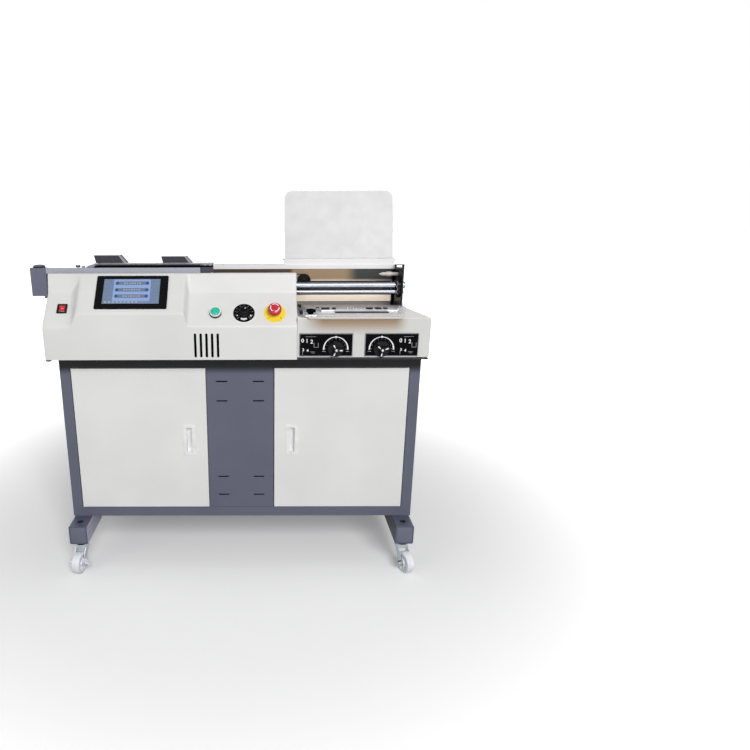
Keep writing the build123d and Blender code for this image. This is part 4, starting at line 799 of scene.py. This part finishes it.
# Emergency stop: yellow disc and a mushroom head with three arrows
stop, stop_top = control(STOP_X, CONTROL_S), control(STOP_X, CONTROL_S, 28.15)
disc_rows = [(10.8, 0.0), (30.0, 0.0), (30.0, 1.2), (29.2, 1.9), (15.2, 1.9), (15.2, 5.4), (14.6, 6.0),
             (10.8, 6.0)]
make("stop_disc", [ring(stop, disc_rows, 96)], signal_yellow, replaces=("estop_collar",))
head_rows = [(7.0, -20), (7.0, 8.0), (11.0, 13.0), (15.6, 13.6), (18.2, 15.4), (18.9, 18.4), (18.7, 22.4),
             (17.6, 25.4), (15.6, 27.2), (13.2, 28.1), (9.0, 28.6), (4.0, 28.9)]
make("stop_head", [turned(stop, head_rows, 96)], stop_red, "stop_head", replaces=("estop_head",))
arrows = []
for k in range(3):
    turn = 30 + 120 * k
    arrows.append(ribbon(stop_top, arc(11.6, turn, turn + 74, 17), 2.8, -0.4, 0.25))
    tip = [toward(turn + 100, 11.6), toward(turn + 74, 8.4), toward(turn + 74, 14.8)]
    arrows.append(prism(stop_top, tip, -0.4, 0.25))
make("stop_arrows", arrows, mark_white, "stop_head", tidy=False)
stop_ticks = [ribbon(control(STOP_X, CONTROL_S, 1.92), [toward(turn, 22.5), toward(turn, 26.5)], 1.6, 0, 0.12)
              for turn in (45, 135, 225, 315)]
make("stop_disc_marks", stop_ticks, black_plastic)

# Dials of the cover station: borders of the plates, scales, figures and three-lobed knobs with painted
# highlights on their lobes
DIAL_Z, MARK_Y = 711.5, -58.72
DIGITS = (("0", -20, 12), ("1", -8, 11), ("2", 5, 9), ("3", -18, -14), ("4", -6, -16))
BOOK_LINES = ((17, 716, 12, 1.3), (23, 722, 1.3, 13), (11.5, 722, 1.3, 13), (8, 703, 13, 1.1),
              (9, 699.5, 8, 1.1), (-20, 700, 1.2, 9))
for side, dial_x, plate_x, away, marks in (("left", 268, 241, -1, (118, -2, -116)),
                                           ("right", 394, 421.5, 1, (139, 20, -101))):
    face = facing(dial_x, -58.7, DIAL_Z)
    plate = facing(plate_x, -58.75, 722.5)
    make(f"dial_plate_border_{side}", [window(plate, (147.4, 64.4, 2.2), (144.2, 61.2, 1.4), 0.0, 0.35, 0.1)],
         mark_grey)
    scale = [stroke(face, 33.2, -4, 184, (4.4, 2.2), 0.0, 0.3),
             screw(facing(dial_x, -58.7, DIAL_Z + 33.2), 2.9, 0.5, False)]
    for k in (-1, 1):
        for j in range(3):
            scale.append(screw(facing(dial_x + k * (29.5 + 3.4 * j), -58.7, DIAL_Z - 7.2), 0.8, 0.3, False, 12))
    make(f"dial_scale_{side}", scale, mark_white, tidy=False)
    dashes = [ribbon(face, [toward(t, 26.0), toward(t, 28.6)], 0.7, 0, 0.2) for t in np.arange(0, 181, 22.5)]
    signs = []
    centre = plate_x + away * 44.5
    for j, (label, dx, dz) in enumerate(DIGITS):
        signs.append(words(facing(centre + dx, MARK_Y, 722.5 + dz), label, 15.0 if j < 3 else 11.0,
                           bold=0.025))
    signs += [words(facing(centre + dx, MARK_Y, 746.0), "—", 6.0) for dx in (-8, -1, 6, 13)]
    make(f"dial_figures_{side}", signs, mark_white, tidy=False)
    book = [rule(facing(centre + dx, MARK_Y, z), wide, tall, 0.2) for dx, z, wide, tall in BOOK_LINES]
    make(f"dial_signs_{side}", book + dashes, mark_grey, tidy=False)
    angle = np.linspace(0, 2 * np.pi, 144, endpoint=False)
    lobes = np.zeros(144)
    for mark in marks:
        off = np.mod(angle - math.radians(mark) + np.pi, 2 * np.pi) - np.pi
        lobes = np.maximum(lobes, np.exp(-(off / 0.40) ** 4))
    lobed = 7.6 + 12.4 * lobes
    knob = facing(dial_x, -59.3, DIAL_Z)
    rows = [(4.0, -29), (4.0, 0.0), (22.4, 0.0), (22.4, 2.6), (21.4, 4.0), (lobed + 0.6, 5.0), (lobed, 7.0),
            (lobed - 0.3, 18.0), (lobed - 1.3, 19.6), (lobed * 0.6, 20.2)]
    make(f"dial_knob_{side}", [turned(knob, rows, 144)], black_plastic, f"{side}_dial",
         replaces=(f"dial_{side}",), smooth=45)
    # Painted highlights: a white drop on each of the knob's lobes; a white dot sits at its centre.
    lobe_highlights = []
    for mark in marks:
        turn = math.radians(mark)
        turned_spot = place((dial_x, -79.5, DIAL_Z), (math.cos(turn), 0, math.sin(turn)), (0, -1, 0))
        t = np.linspace(0, 2 * np.pi, 25)[:-1]
        outline = np.stack([11.6 - 5.6 * np.cos(t), 2.9 * np.sin(t) * (0.55 - 0.45 * np.cos(t))], 1)
        lobe_highlights.append(prism(turned_spot, outline, 0.0, 0.35))
    lobe_highlights.append(screw(facing(dial_x, -79.5, DIAL_Z), 3.2, 0.5, False))
    make(f"dial_lobe_highlights_{side}", lobe_highlights, mark_white, f"{side}_dial", tidy=False)

# Cover station's table: a well of painted shade under its slot, bars with fingers and screws, side stop and
# star knob
TABLE_Z = 800.5
# The well's walls and floor are dark: painted shade inside the slot.
well = moulded("slot_painted_shade", (24, 24, 28), 0.7, grain=0.02)
SLOT = (347, 6)
make("nip_well", [window(level(*SLOT, 793.5), (153.6, 31.6, 0.6), (149.6, 27.6, 0.4), -30.0, 6.8, 0.2)],
     well, "table")
make("nip_well_floor", [rule(level(*SLOT, 763.6), 151, 29, 0.4)], well, "table")
bar_front = np.array([[-117, -15], [117, -15], [108, 14.4], [-84, 14.4]])
make("nip_bar_front", [prism(level(340, -25, 800.8), bar_front, 0.0, 1.5)], bar_paint, "front_nip",
     bevel=0.4, replaces=("nip_plate_front",))
make("nip_bar_screws", [screw(level(x, -28, 802.2), 2.8, 0.7) for x in (262, 318, 374, 424)], bolt_steel,
     "front_nip")
bar_rear = np.array([[-112, -17], [106, -17], [124, 16.5], [-124, 16.5]])
make("nip_bar_rear", [prism(level(345, 39, 800.8), bar_rear, 0.0, 4.8)], table_metal, "rear_nip",
     bevel=0.8, replaces=("nip_plate_rear",))
fingers = []
for x, half in ((246, 12.0), (271, 5.0), (373, 8.5), (398, 8.0), (418, 5.0)):
    reach = np.array([[0, 13.0, 0.0], [0, 8.0, 0.2], [0, 2.0, 2.4], [0, -4.0, 3.4], [0, -9.0, 2.6],
                      [0, -14.0, 1.0]])
    points = []
    for dx, dz in ((-half, 0.0), (half, 0.0), (half, 1.1), (-half, 1.1)):
        points.append(level(x, 44, 805.5)(reach + np.array([dx, 0, dz])))
    fingers.append(net(np.stack(points, 1)))
make("nip_fingers", fingers, black_coat, "rear_nip", smooth=60)
make("nip_screws", [screw(level(x, 42, 805.5), 3.8, 3.2) for x in (232, 260, 310, 326, 350, 384, 455)],
     bolt_steel, "rear_nip")
make("table_screws", [screw(level(x, y, TABLE_Z), 3.6, 0.7) for x, y in
                      ((240, -53), (440, -50), (466, 60), (474, 108), (330, 122), (216, 122))],
     bolt_steel, "table")
STAR = (199, -34)
stop_outline = np.array([[-15.4, -13.4], [11, -13.4], [15.4, -9], [15.4, 9], [11, 13.4], [-15.4, 13.4]])
make("star_block", [prism(level(*STAR, TABLE_Z), stop_outline, 0.0, 4.2)], bolt_steel, "table",
     bevel=0.8)
STOP_BLOCKS = ((174, -6, 9, 30, 9), (175, 96, 11, 30, 7), (226, 64, 9, 12, 6))
make("side_stop", [block((x - wide / 2, x + wide / 2), (y - deep / 2, y + deep / 2), (TABLE_Z, TABLE_Z + tall))
                   for x, y, wide, deep, tall in STOP_BLOCKS], black_coat, "table", bevel=0.8)
make("side_stop_rails", [block((x - 2.4, x + 2.4), (7, 83), (TABLE_Z, TABLE_Z + 5)) for x in (171, 179, 187)],
     bolt_steel, "table", bevel=0.6)
star_angle = np.linspace(0, 2 * np.pi, 120, endpoint=False)
star = 11.8 + 2.4 * np.cos(5 * star_angle)
star_rows = [(3.0, -6), (3.0, 0.0), (7.4, 0.0), (7.4, 3.6), (star * 0.96, 4.2), (star, 5.4), (star, 11.4),
             (star * 0.94, 12.7), (star * 0.6, 13.2), (4.0, 13.3), (3.6, 12.6)]
make("stop_star", [turned(level(*STAR, 804.9), star_rows, 120)], slot_black, "star_knob",
     replaces=("star_knob",), smooth=50)

# Wall behind the rods: pale strip that glows with painted light, grey rail under it, a rubber seal, a dark
# strip of painted shade and the pointed pin
WALL_Y = 261.95
# The cream strip glows though no lamp is in it: painted light, for a strip that sits in the rods' shadow.
strip_cream_painted_glow = moulded("strip_cream_painted_glow", (254, 238, 220), 0.4, grain=0.004, drift=0.03, light=0.5)
strip_grey = powder_coat("strip_grey", (208, 201, 195), 0.4)
make("wall_strip", [block((163, 476.5), (260.3, WALL_Y), (793.4, 812))], strip_cream_painted_glow, bevel=0.4)
make("wall_rail", [block((163, 476.5), (259.6, WALL_Y), (772, 793.2))], strip_grey, bevel=0.4)
# The upper strip is a rubber seal; the lower one, at Z 829.5 to 837.5, is a dark strip of painted shade between
# the rods.
make("wall_seal_and_shade_strip", [block((163, 474), (258, WALL_Y), heights) for heights in ((850, 858), (829.5, 837.5))],
     rubber, bevel=0.4)
pin_rows = [(0.6, 12.0), (2.6, 16.0), (5.6, 24.0), (5.6, 36.0), (7.2, 37.0), (7.2, 50.0), (5.4, 51.0),
            (5.4, 71.5)]
make("pointed_pin", [turned(place((412, 200, 886), (0, 1, 0), (1, 0, 0)), pin_rows, 36)], strip_grey)

# End plate: collars of the rods, a coiled hook, bolts and a rod's end
ROD_Y, ROD_HIGH, ROD_LOW = 160, 857.5, 837.5
make("rod_collars", [ring(place((474.3, ROD_Y, z), (0, 1, 0), (-1, 0, 0)), rows, 60) for z, rows in (
    (ROD_HIGH, [(9.6, 0), (14.6, 0), (14.6, 5.4), (13.6, 6.4), (10.6, 6.4), (9.6, 5.4)]),
    (ROD_LOW, [(8.6, 0), (12.4, 0), (12.4, 3.4), (11.6, 4.2), (9.4, 4.2), (8.6, 3.4)]))], black_coat)
coil = np.linspace(0, 1, 60)
wire = at(np.stack([470.5 + 2.2 * np.cos(5 * np.pi * coil), 141.5 - 3 * coil, 832 + 40 * coil], 1))
make("collar_hook", [tube(wire, 1.3, 10)], cast_grey)
plate_bolts = ((180, 872), (180, 823), (150, 800), (250, 800), (150, 720), (250, 720))
make("end_plate_bolts", [screw(sideways(488.5, y, z), 5.0, 4.0) for y, z in plate_bolts]
     + [nut(sideways(489.5, ROD_Y, ROD_LOW), 7.0, 4.0, 4.0)], bolt_steel)
end_rows = [(9.6, 0), (13.0, 0), (13.0, 3.0), (12.2, 3.8), (9.6, 3.8)]
make("rod_end", [ring(sideways(488.6, ROD_Y, ROD_HIGH), end_rows, 60)], bolt_steel)

# Left bracket, rail and carriage: cap, bolts, a small knob, stops and jaw pads
RAIL_TOP = (55, 922.9)
cap_rows = [(16.6, 923.1), (16.7, 925.2)] + [
    (16.7 - 9 * (1 - math.cos(t)), 925.2 + 5.2 * math.sin(t)) for t in np.linspace(0.15, 1.5, 8)]
make("bracket_cap", [turned(level(-572.7, 66, 0), cap_rows, 72)], rubber)
make("bracket_bolts", [screw(level(x, y, 900), 5.0, 4.4) for x in (-584, -558) for y in (120, 222)],
     bolt_steel)
knob_rows = [(3.0, 0), (3.0, 1.0), (6.0, 1.8), (6.2, 7.4), (5.4, 8.4), (3.4, 8.6), (3.0, 7.0)]
make("rail_knob", [turned(level(-458, *RAIL_TOP), knob_rows, 48)], bolt_steel)
make("rail_knob_grip", [ring(level(-458, *RAIL_TOP), [(6.1, 2.6), (6.7, 3.0), (6.7, 6.2), (6.1, 6.6)], 48)],
     black_plastic)
make("rail_stops", [slab(level(x, *RAIL_TOP), wide, 9, 1.5, 0.0, tall, 0.5)
                    for x, wide, tall in ((-443, 9, 5.0), (-431, 7, 3.4), (-420, 9, 5.6))],
     clamp_face)
top_bolts = ((-420, 76), (-420, 118), (-97, 118), (-82, 58), (-97, 58), (-250, 104))
make("carriage_bolts", [screw(level(x, y, 928), 3.6, 2.2) for x, y in top_bolts]
     + [screw(level(x, y, 912), 4.4, 3.4) for x in (-420, -102) for y in (160, 200)], bolt_steel, "carriage")
make("rear_jaw_pad", [block((-406, -114), (90.6, 92.1), (853, 921))], rubber, "carriage", bevel=0.3)
make("front_jaw_pad", [block((-402, -117), (59.9, 61.2), (854, 902))], rubber, "jaw", bevel=0.3)
# A black strip on the clamp plate's front edge: painted shadow under the plate's edge.
make("slot_lip_painted_shadow", [block((-409, -74.5), (49.5, 60.2), (923.9, 928.6))], slot_black, "carriage", bevel=0.3)
make("clamp_face", [block((-411, -80), (92.2, 131.4), (928.0, 929.2))], clamp_face, "carriage",
     bevel=0.4)

# Thin light strips along the supports' sloping edges: painted highlights.
support_edge_highlights = []
for low_x, high_x, top in ((-335, -354.5, 951.2), (-142.4, -159.4, 947.7)):
    outline = np.array([[low_x - 9, 928.2], [low_x + 0.3, 928.2], [high_x + 0.3, top + 0.2],
                        [high_x - 6, top + 0.2]])
    support_edge_highlights.append(prism(facing(0, 131.9, 0), outline, 0.0, 0.5))
make("support_edge_highlights", support_edge_highlights, clamp_face, "carriage")

# Belt over its two pulleys, and the idler's cap and face
BELT_Z, DRIVER_X, IDLER_X, BELT_REACH = 867, -510, 194, 19.2
belt_turn = np.linspace(np.pi / 2, 3 * np.pi / 2, 25)
circle = BELT_REACH * np.stack([np.cos(belt_turn), np.sin(belt_turn)], 1)
middle = np.repeat([[DRIVER_X, BELT_Z], [IDLER_X, BELT_Z]], 25, axis=0)
outward = np.concatenate([circle, -circle]) / BELT_REACH
sections = [np.insert(middle + outward * (BELT_REACH + side * 0.9), 1, y, axis=1)
            for side, y in ((1, 196.5), (1, 207.5), (-1, 207.5), (-1, 196.5))]
make("drive_belt", [net(at(np.stack(sections, 1)), wrap_rows=True)], belt_black)
cap_rows = [(8.0, 0), (8.0, 2.6), (6.8, 4.0), (2.4, 4.6)]
make("idler_cap", [turned(facing(IDLER_X, 193.8, BELT_Z), cap_rows, 48)], black_coat, "idler")
face_rows = [(8.4, -1), (20.3, -1), (20.5, 0.6), (19.4, 1.4), (16.4, 1.2), (13.0, 0.4), (8.4, 0.4)]
make("idler_face", [ring(facing(IDLER_X, 194, BELT_Z), face_rows, 72)], black_plastic, "idler")

# Lid and top beam: folded hems, the hinge's joints, screws and pin ends
HINGE = (270, 925)
lean = math.radians(17)
leaf = place((308.25, *HINGE), (1, 0, 0), (0, -math.cos(lean), math.sin(lean)))
make("lid_hems", [tube(straight(leaf, (x, 22, -3.2), (x, 190, -3.2), 7), 1.2, 12) for x in (-170.4, 170.4)]
     + [tube(straight(leaf, (-144, 216.6, -3.2), (144, 216.6, -3.2), 9), 1.2, 12)], lid_white, "lid")
joint_rows = [(3.95, 0), (4.15, 0), (4.15, 1.0), (3.95, 1.0)]
make("lid_joints", [ring(place((x, *HINGE), (0, 1, 0), (1, 0, 0)), joint_rows, 36)
                    for x in (180, 224, 266, 308, 350, 392, 436)], mark_grey, "lid")
make("beam_screws", [screw(level(x, 282, 909.5), 4.0, 2.6) for x in (-60, 60, 180, 300, 420)], bright_ring)
make("hinge_pin_ends", [nut(place((x, *HINGE), (0, 1, 0), (way, 0, 0)), 4.4, high)
                        for x, way, high in ((484.2, 1, 2.4), (132.0, -1, 2.0))], bolt_steel)

# Rubber bumpers under the console's ends
for side, outline, back in (("left", [[-539, 680.4], [-537, 675.5], [-526, 675.0], [-523, 680.4]], 54),
                            ("right", [[511, 686.9], [513, 684.0], [525, 679.6], [526, 683.2]], 56)):
    make(f"bumper_{side}", [prism(facing(0, 0, 0), outline, 30, back)], rubber, bevel=0.6)

# Feet: plugs in the ends, and linings and floors of the holes on top
FOOT_X, FOOT_Y = (-491, 491), (-37, 437)
make("foot_plugs", [slab(way(x, y, 136.6), 46, 50, 4, -0.5, 0.9, 0.5)
                    for way, y in ((facing, -65.5), (behind, 464.5)) for x in (-491.5, 491.5)], grey_blue)
foot_dark = moulded("foot_hole_dark", (16, 16, 20), 0.8, grain=0.02)
holes = [(x, y) for x in FOOT_X for y in FOOT_Y]
lining_rows = [(9.05, -16), (9.3, -16), (9.3, 0.05), (8.6, 0.12), (8.2, -0.4), (8.2, -16)]
make("foot_hole_linings", [ring(level(x, y, 166.6), lining_rows, 40) for x, y in holes], foot_dark)
make("foot_hole_floors", [turned(level(x, y, 148), [(8.6, 0), (8.6, 1.5)], 40) for x, y in holes], foot_dark)

# Castors: hub caps and ribs, race seals, rivets and axle nuts
UP = np.array([0, 0, 1.0])
WHEEL_CAP = [(5.3, 0), (12.2, 0), (12.2, 1.4), (10.4, 3.0), (7.4, 4.6), (5.3, 4.6)]
WHEEL_RIB = [[11.6, -0.8], [20.8, -0.8], [20.8, 0.8], [11.6, 0.8]]
RACE_SEAL = [(15.6, 98.1), (16.4, 98.1), (17.2, 100.2), (16.2, 106.4), (15.2, 106.4)]
for label, x, y, heading in (("front_left", -491, -37, 170), ("front_right", 491, -37, 200),
                             ("rear_left", -491, 437, 0), ("rear_right", 491, 437, 0)):
    wheel, fork = f"wheel_{label}", f"fork_{label}"
    turn = math.radians(heading)
    axle = np.array([math.cos(turn), math.sin(turn), 0.0])
    trail = np.array([-math.sin(turn), math.cos(turn), 0.0])
    hub = np.array([x, y, 44.5]) + 30 * trail
    for side in (-1, 1):
        tag = f"{label}_{'a' if side > 0 else 'b'}"
        cap = place(hub + side * 8.4 * axle, trail, side * axle)
        make(f"wheel_cap_{tag}", [ring(cap, WHEEL_CAP, 60)], wheel_white, wheel)
        ribs = [place(hub + side * 8.2 * axle, math.cos(t) * trail + math.sin(t) * UP, side * axle)
                for t in np.linspace(0, 2 * np.pi, 10, endpoint=False)]
        make(f"wheel_ribs_{tag}", [prism(rib, WHEEL_RIB, 0.0, 2.8) for rib in ribs], wheel_white, wheel,
             bevel=0.3)
    make(f"race_seal_{label}", [ring(level(x, y, 0), RACE_SEAL, 60)], rubber)
    rivets = [place(np.array([x, y, 90.1]) + 18.4 * (math.cos(t) * axle + math.sin(t) * trail), axle, (0, 0, 1))
              for t in np.radians([45, 135, 225, 315])]
    make(f"fork_rivets_{label}", [screw(rivet, 1.2, 0.6, False, 12) for rivet in rivets], zinc, fork)
    make(f"axle_nut_{label}", [nut(place(hub + 22.0 * axle, trail, axle), 7.4, 5.4, 3.6)], bolt_steel, fork)

# Rear and sides: screws, a blank rating plate, and the inlet's pins and rim
REAR_Y = 478
make("rear_screws", [screw(behind(x, REAR_Y, z), 4.0, 2.2)
                     for x in (-525, -380, -180, 0, 180, 330, 474) for z in (692, 862)], bolt_steel)
left_screws = ((80, 700), (80, 800), (240, 700), (300, 850), (450, 700), (450, 850))
make("side_screws", [screw(place((-538.5, y, z), (0, -1, 0), (-1, 0, 0)), 4.0, 2.2) for y, z in left_screws]
     + [screw(sideways(487, y, z), 4.0, 2.2) for y in (300, 460) for z in (700, 850)], bolt_steel)
make("rating_plate", [slab(behind(-330, REAR_Y, 730), 70, 46, 2.0, 0.0, 0.5, 0.2)], table_metal)
make("inlet_pins", [rule(behind(-420 + dx, 474, 738 + dz), 2.0, 6.0, 8.0)
                    for dx, dz in ((-7, 0), (0, 3), (7, 0))], cut_steel)
make("inlet_rim", [window(behind(-420, 481.0, 738), (30.0, 22.0, 3.0), (25.0, 17.4, 2.0), 0.0, 0.8, 0.3)],
     black_plastic)

# Glue in the tank, and the tank's screws
amber = moulded("glue_amber", (206, 150, 62), 0.16, grain=0.03, cells=60.0, drift=0.15, soft=0.3)
wave_x, wave_y = np.meshgrid(np.linspace(74.4, 147.6, 40), np.linspace(46.4, 129.6, 40))
swell = 806.5 + 0.5 * np.sin(wave_x / 6.0) * np.cos(wave_y / 9.0) - 2.2 * np.exp(-((wave_x - 111) / 18) ** 2)
points, faces = net(at(np.stack([wave_x, wave_y, swell], -1)), wrap_columns=False)
rim = np.concatenate([np.arange(40), np.arange(79, 1600, 40), np.arange(1598, 1559, -1),
                      np.arange(1520, 39, -40)])
base = points[rim].copy()
base[:, 2] = at(0, 0, 781.0)[2]
ring_faces = [[int(rim[k]), int(rim[(k + 1) % len(rim)]), 1600 + (k + 1) % len(rim), 1600 + k]
              for k in range(len(rim))]
bottom = list(range(1600, 1600 + len(rim)))
make("glue_pool", [(np.concatenate([points, base]), faces + ring_faces + [bottom])], amber, smooth=80)
make("tank_screws", [screw(facing(x, 39.9, 790), 3.0, 1.6) for x in (80, 111, 142)], bolt_steel)

# Covers of the doors' hinges
make("door_hinge_covers", [tube(straight(at, (side * 485, 3.4, z), (side * 485, 3.4, z + 22), 5), 3.4, 20)
                           for side in (-1, 1) for z in (176, 641.5)], bolt_steel)

# Camera, where the photograph was taken from
camera_data = bpy.data.cameras.new("camera")
camera = bpy.data.objects.new("camera", camera_data)
bpy.context.scene.collection.objects.link(camera)
camera.location = at(72.692, -1701.488, 1106.281)
CAMERA_TURNS = ((0.1865, "Z"), (73.5888, "X"), (-0.1825, "Z"))
turns = [Matrix.Rotation(math.radians(angle), 4, axis) for angle, axis in CAMERA_TURNS]
camera.rotation_euler = (turns[0] @ turns[1] @ turns[2]).to_euler()
camera_data.lens = 29.34
camera_data.sensor_width = 36.0
camera_data.shift_x = 0.1492
camera_data.shift_y = 0.0066
bpy.context.scene.camera = camera

# Floor, background and lamps. The floor looks white and gives back less light than it shows.

def plainly_seen(nodes, links):
    """1 where the camera, a gloss or a clear piece looks at the surface, and 0 where light only bounces."""
    ways = nodes.new("ShaderNodeLightPath").outputs
    seen = reckon(nodes, links, "MAXIMUM", ways["Is Camera Ray"], ways["Is Glossy Ray"])
    return reckon(nodes, links, "MAXIMUM", seen, ways["Is Transmission Ray"])


floor_paper, nodes, links, shader, spot = blank("floor_paper")
shader.inputs["Roughness"].default_value = 0.9
shader.inputs["Specular IOR Level"].default_value = 0.0
shader.inputs["Emission Color"].default_value = (1, 1, 1, 1)
floor_seen = plainly_seen(nodes, links)
links.new(tint(nodes, links, floor_seen, (0.42, 0.42, 0.43, 1), (0.98, 0.98, 0.98, 1)),
          shader.inputs["Base Color"])
distance = nodes.new("ShaderNodeVectorMath")
distance.operation = "LENGTH"
links.new(spot, distance.inputs[0])
away = ranged(nodes, links, distance.outputs["Value"], 0.6, 2.2, 0.12, 1.0, smooth=True)
links.new(reckon(nodes, links, "MULTIPLY", away, floor_seen), shader.inputs["Emission Strength"])
floor_mesh = bpy.data.meshes.new("floor")
floor_mesh.from_pydata([(-20, -20, 0), (20, -20, 0), (20, 20, 0), (-20, 20, 0)], [], [[0, 1, 2, 3]])
floor_mesh.materials.append(floor_paper)
floor = bpy.data.objects.new("floor", floor_mesh)
bpy.context.scene.collection.objects.link(floor)

world = bpy.data.worlds.new("studio")
bpy.context.scene.world = world
world.use_nodes = True
nodes, links = world.node_tree.nodes, world.node_tree.links
background = nodes["Background"]
links.new(ranged(nodes, links, plainly_seen(nodes, links), 0.0, 1.0, 0.3, 1.0), background.inputs["Strength"])
background.inputs["Color"].default_value = (1, 1, 1, 1)


def lamp(name, where, size, watts):
    """A square area lamp at a place in metres, turned to the machine's middle."""
    data = bpy.data.lights.new(name, "AREA")
    data.shape, data.size, data.energy = "SQUARE", size, watts
    holder = bpy.data.objects.new(name, data)
    bpy.context.scene.collection.objects.link(holder)
    holder.location = where
    holder.rotation_euler = (Vector((0, 0, 0.6)) - Vector(where)).to_track_quat("-Z", "Y").to_euler()


lamp("key", (1.55, -5.9, 4.05), 3.0, 321)
lamp("fill", (-2.4, -2.6, 1.6), 1.8, 9)

bpy.context.scene.view_settings.view_transform = "Standard"
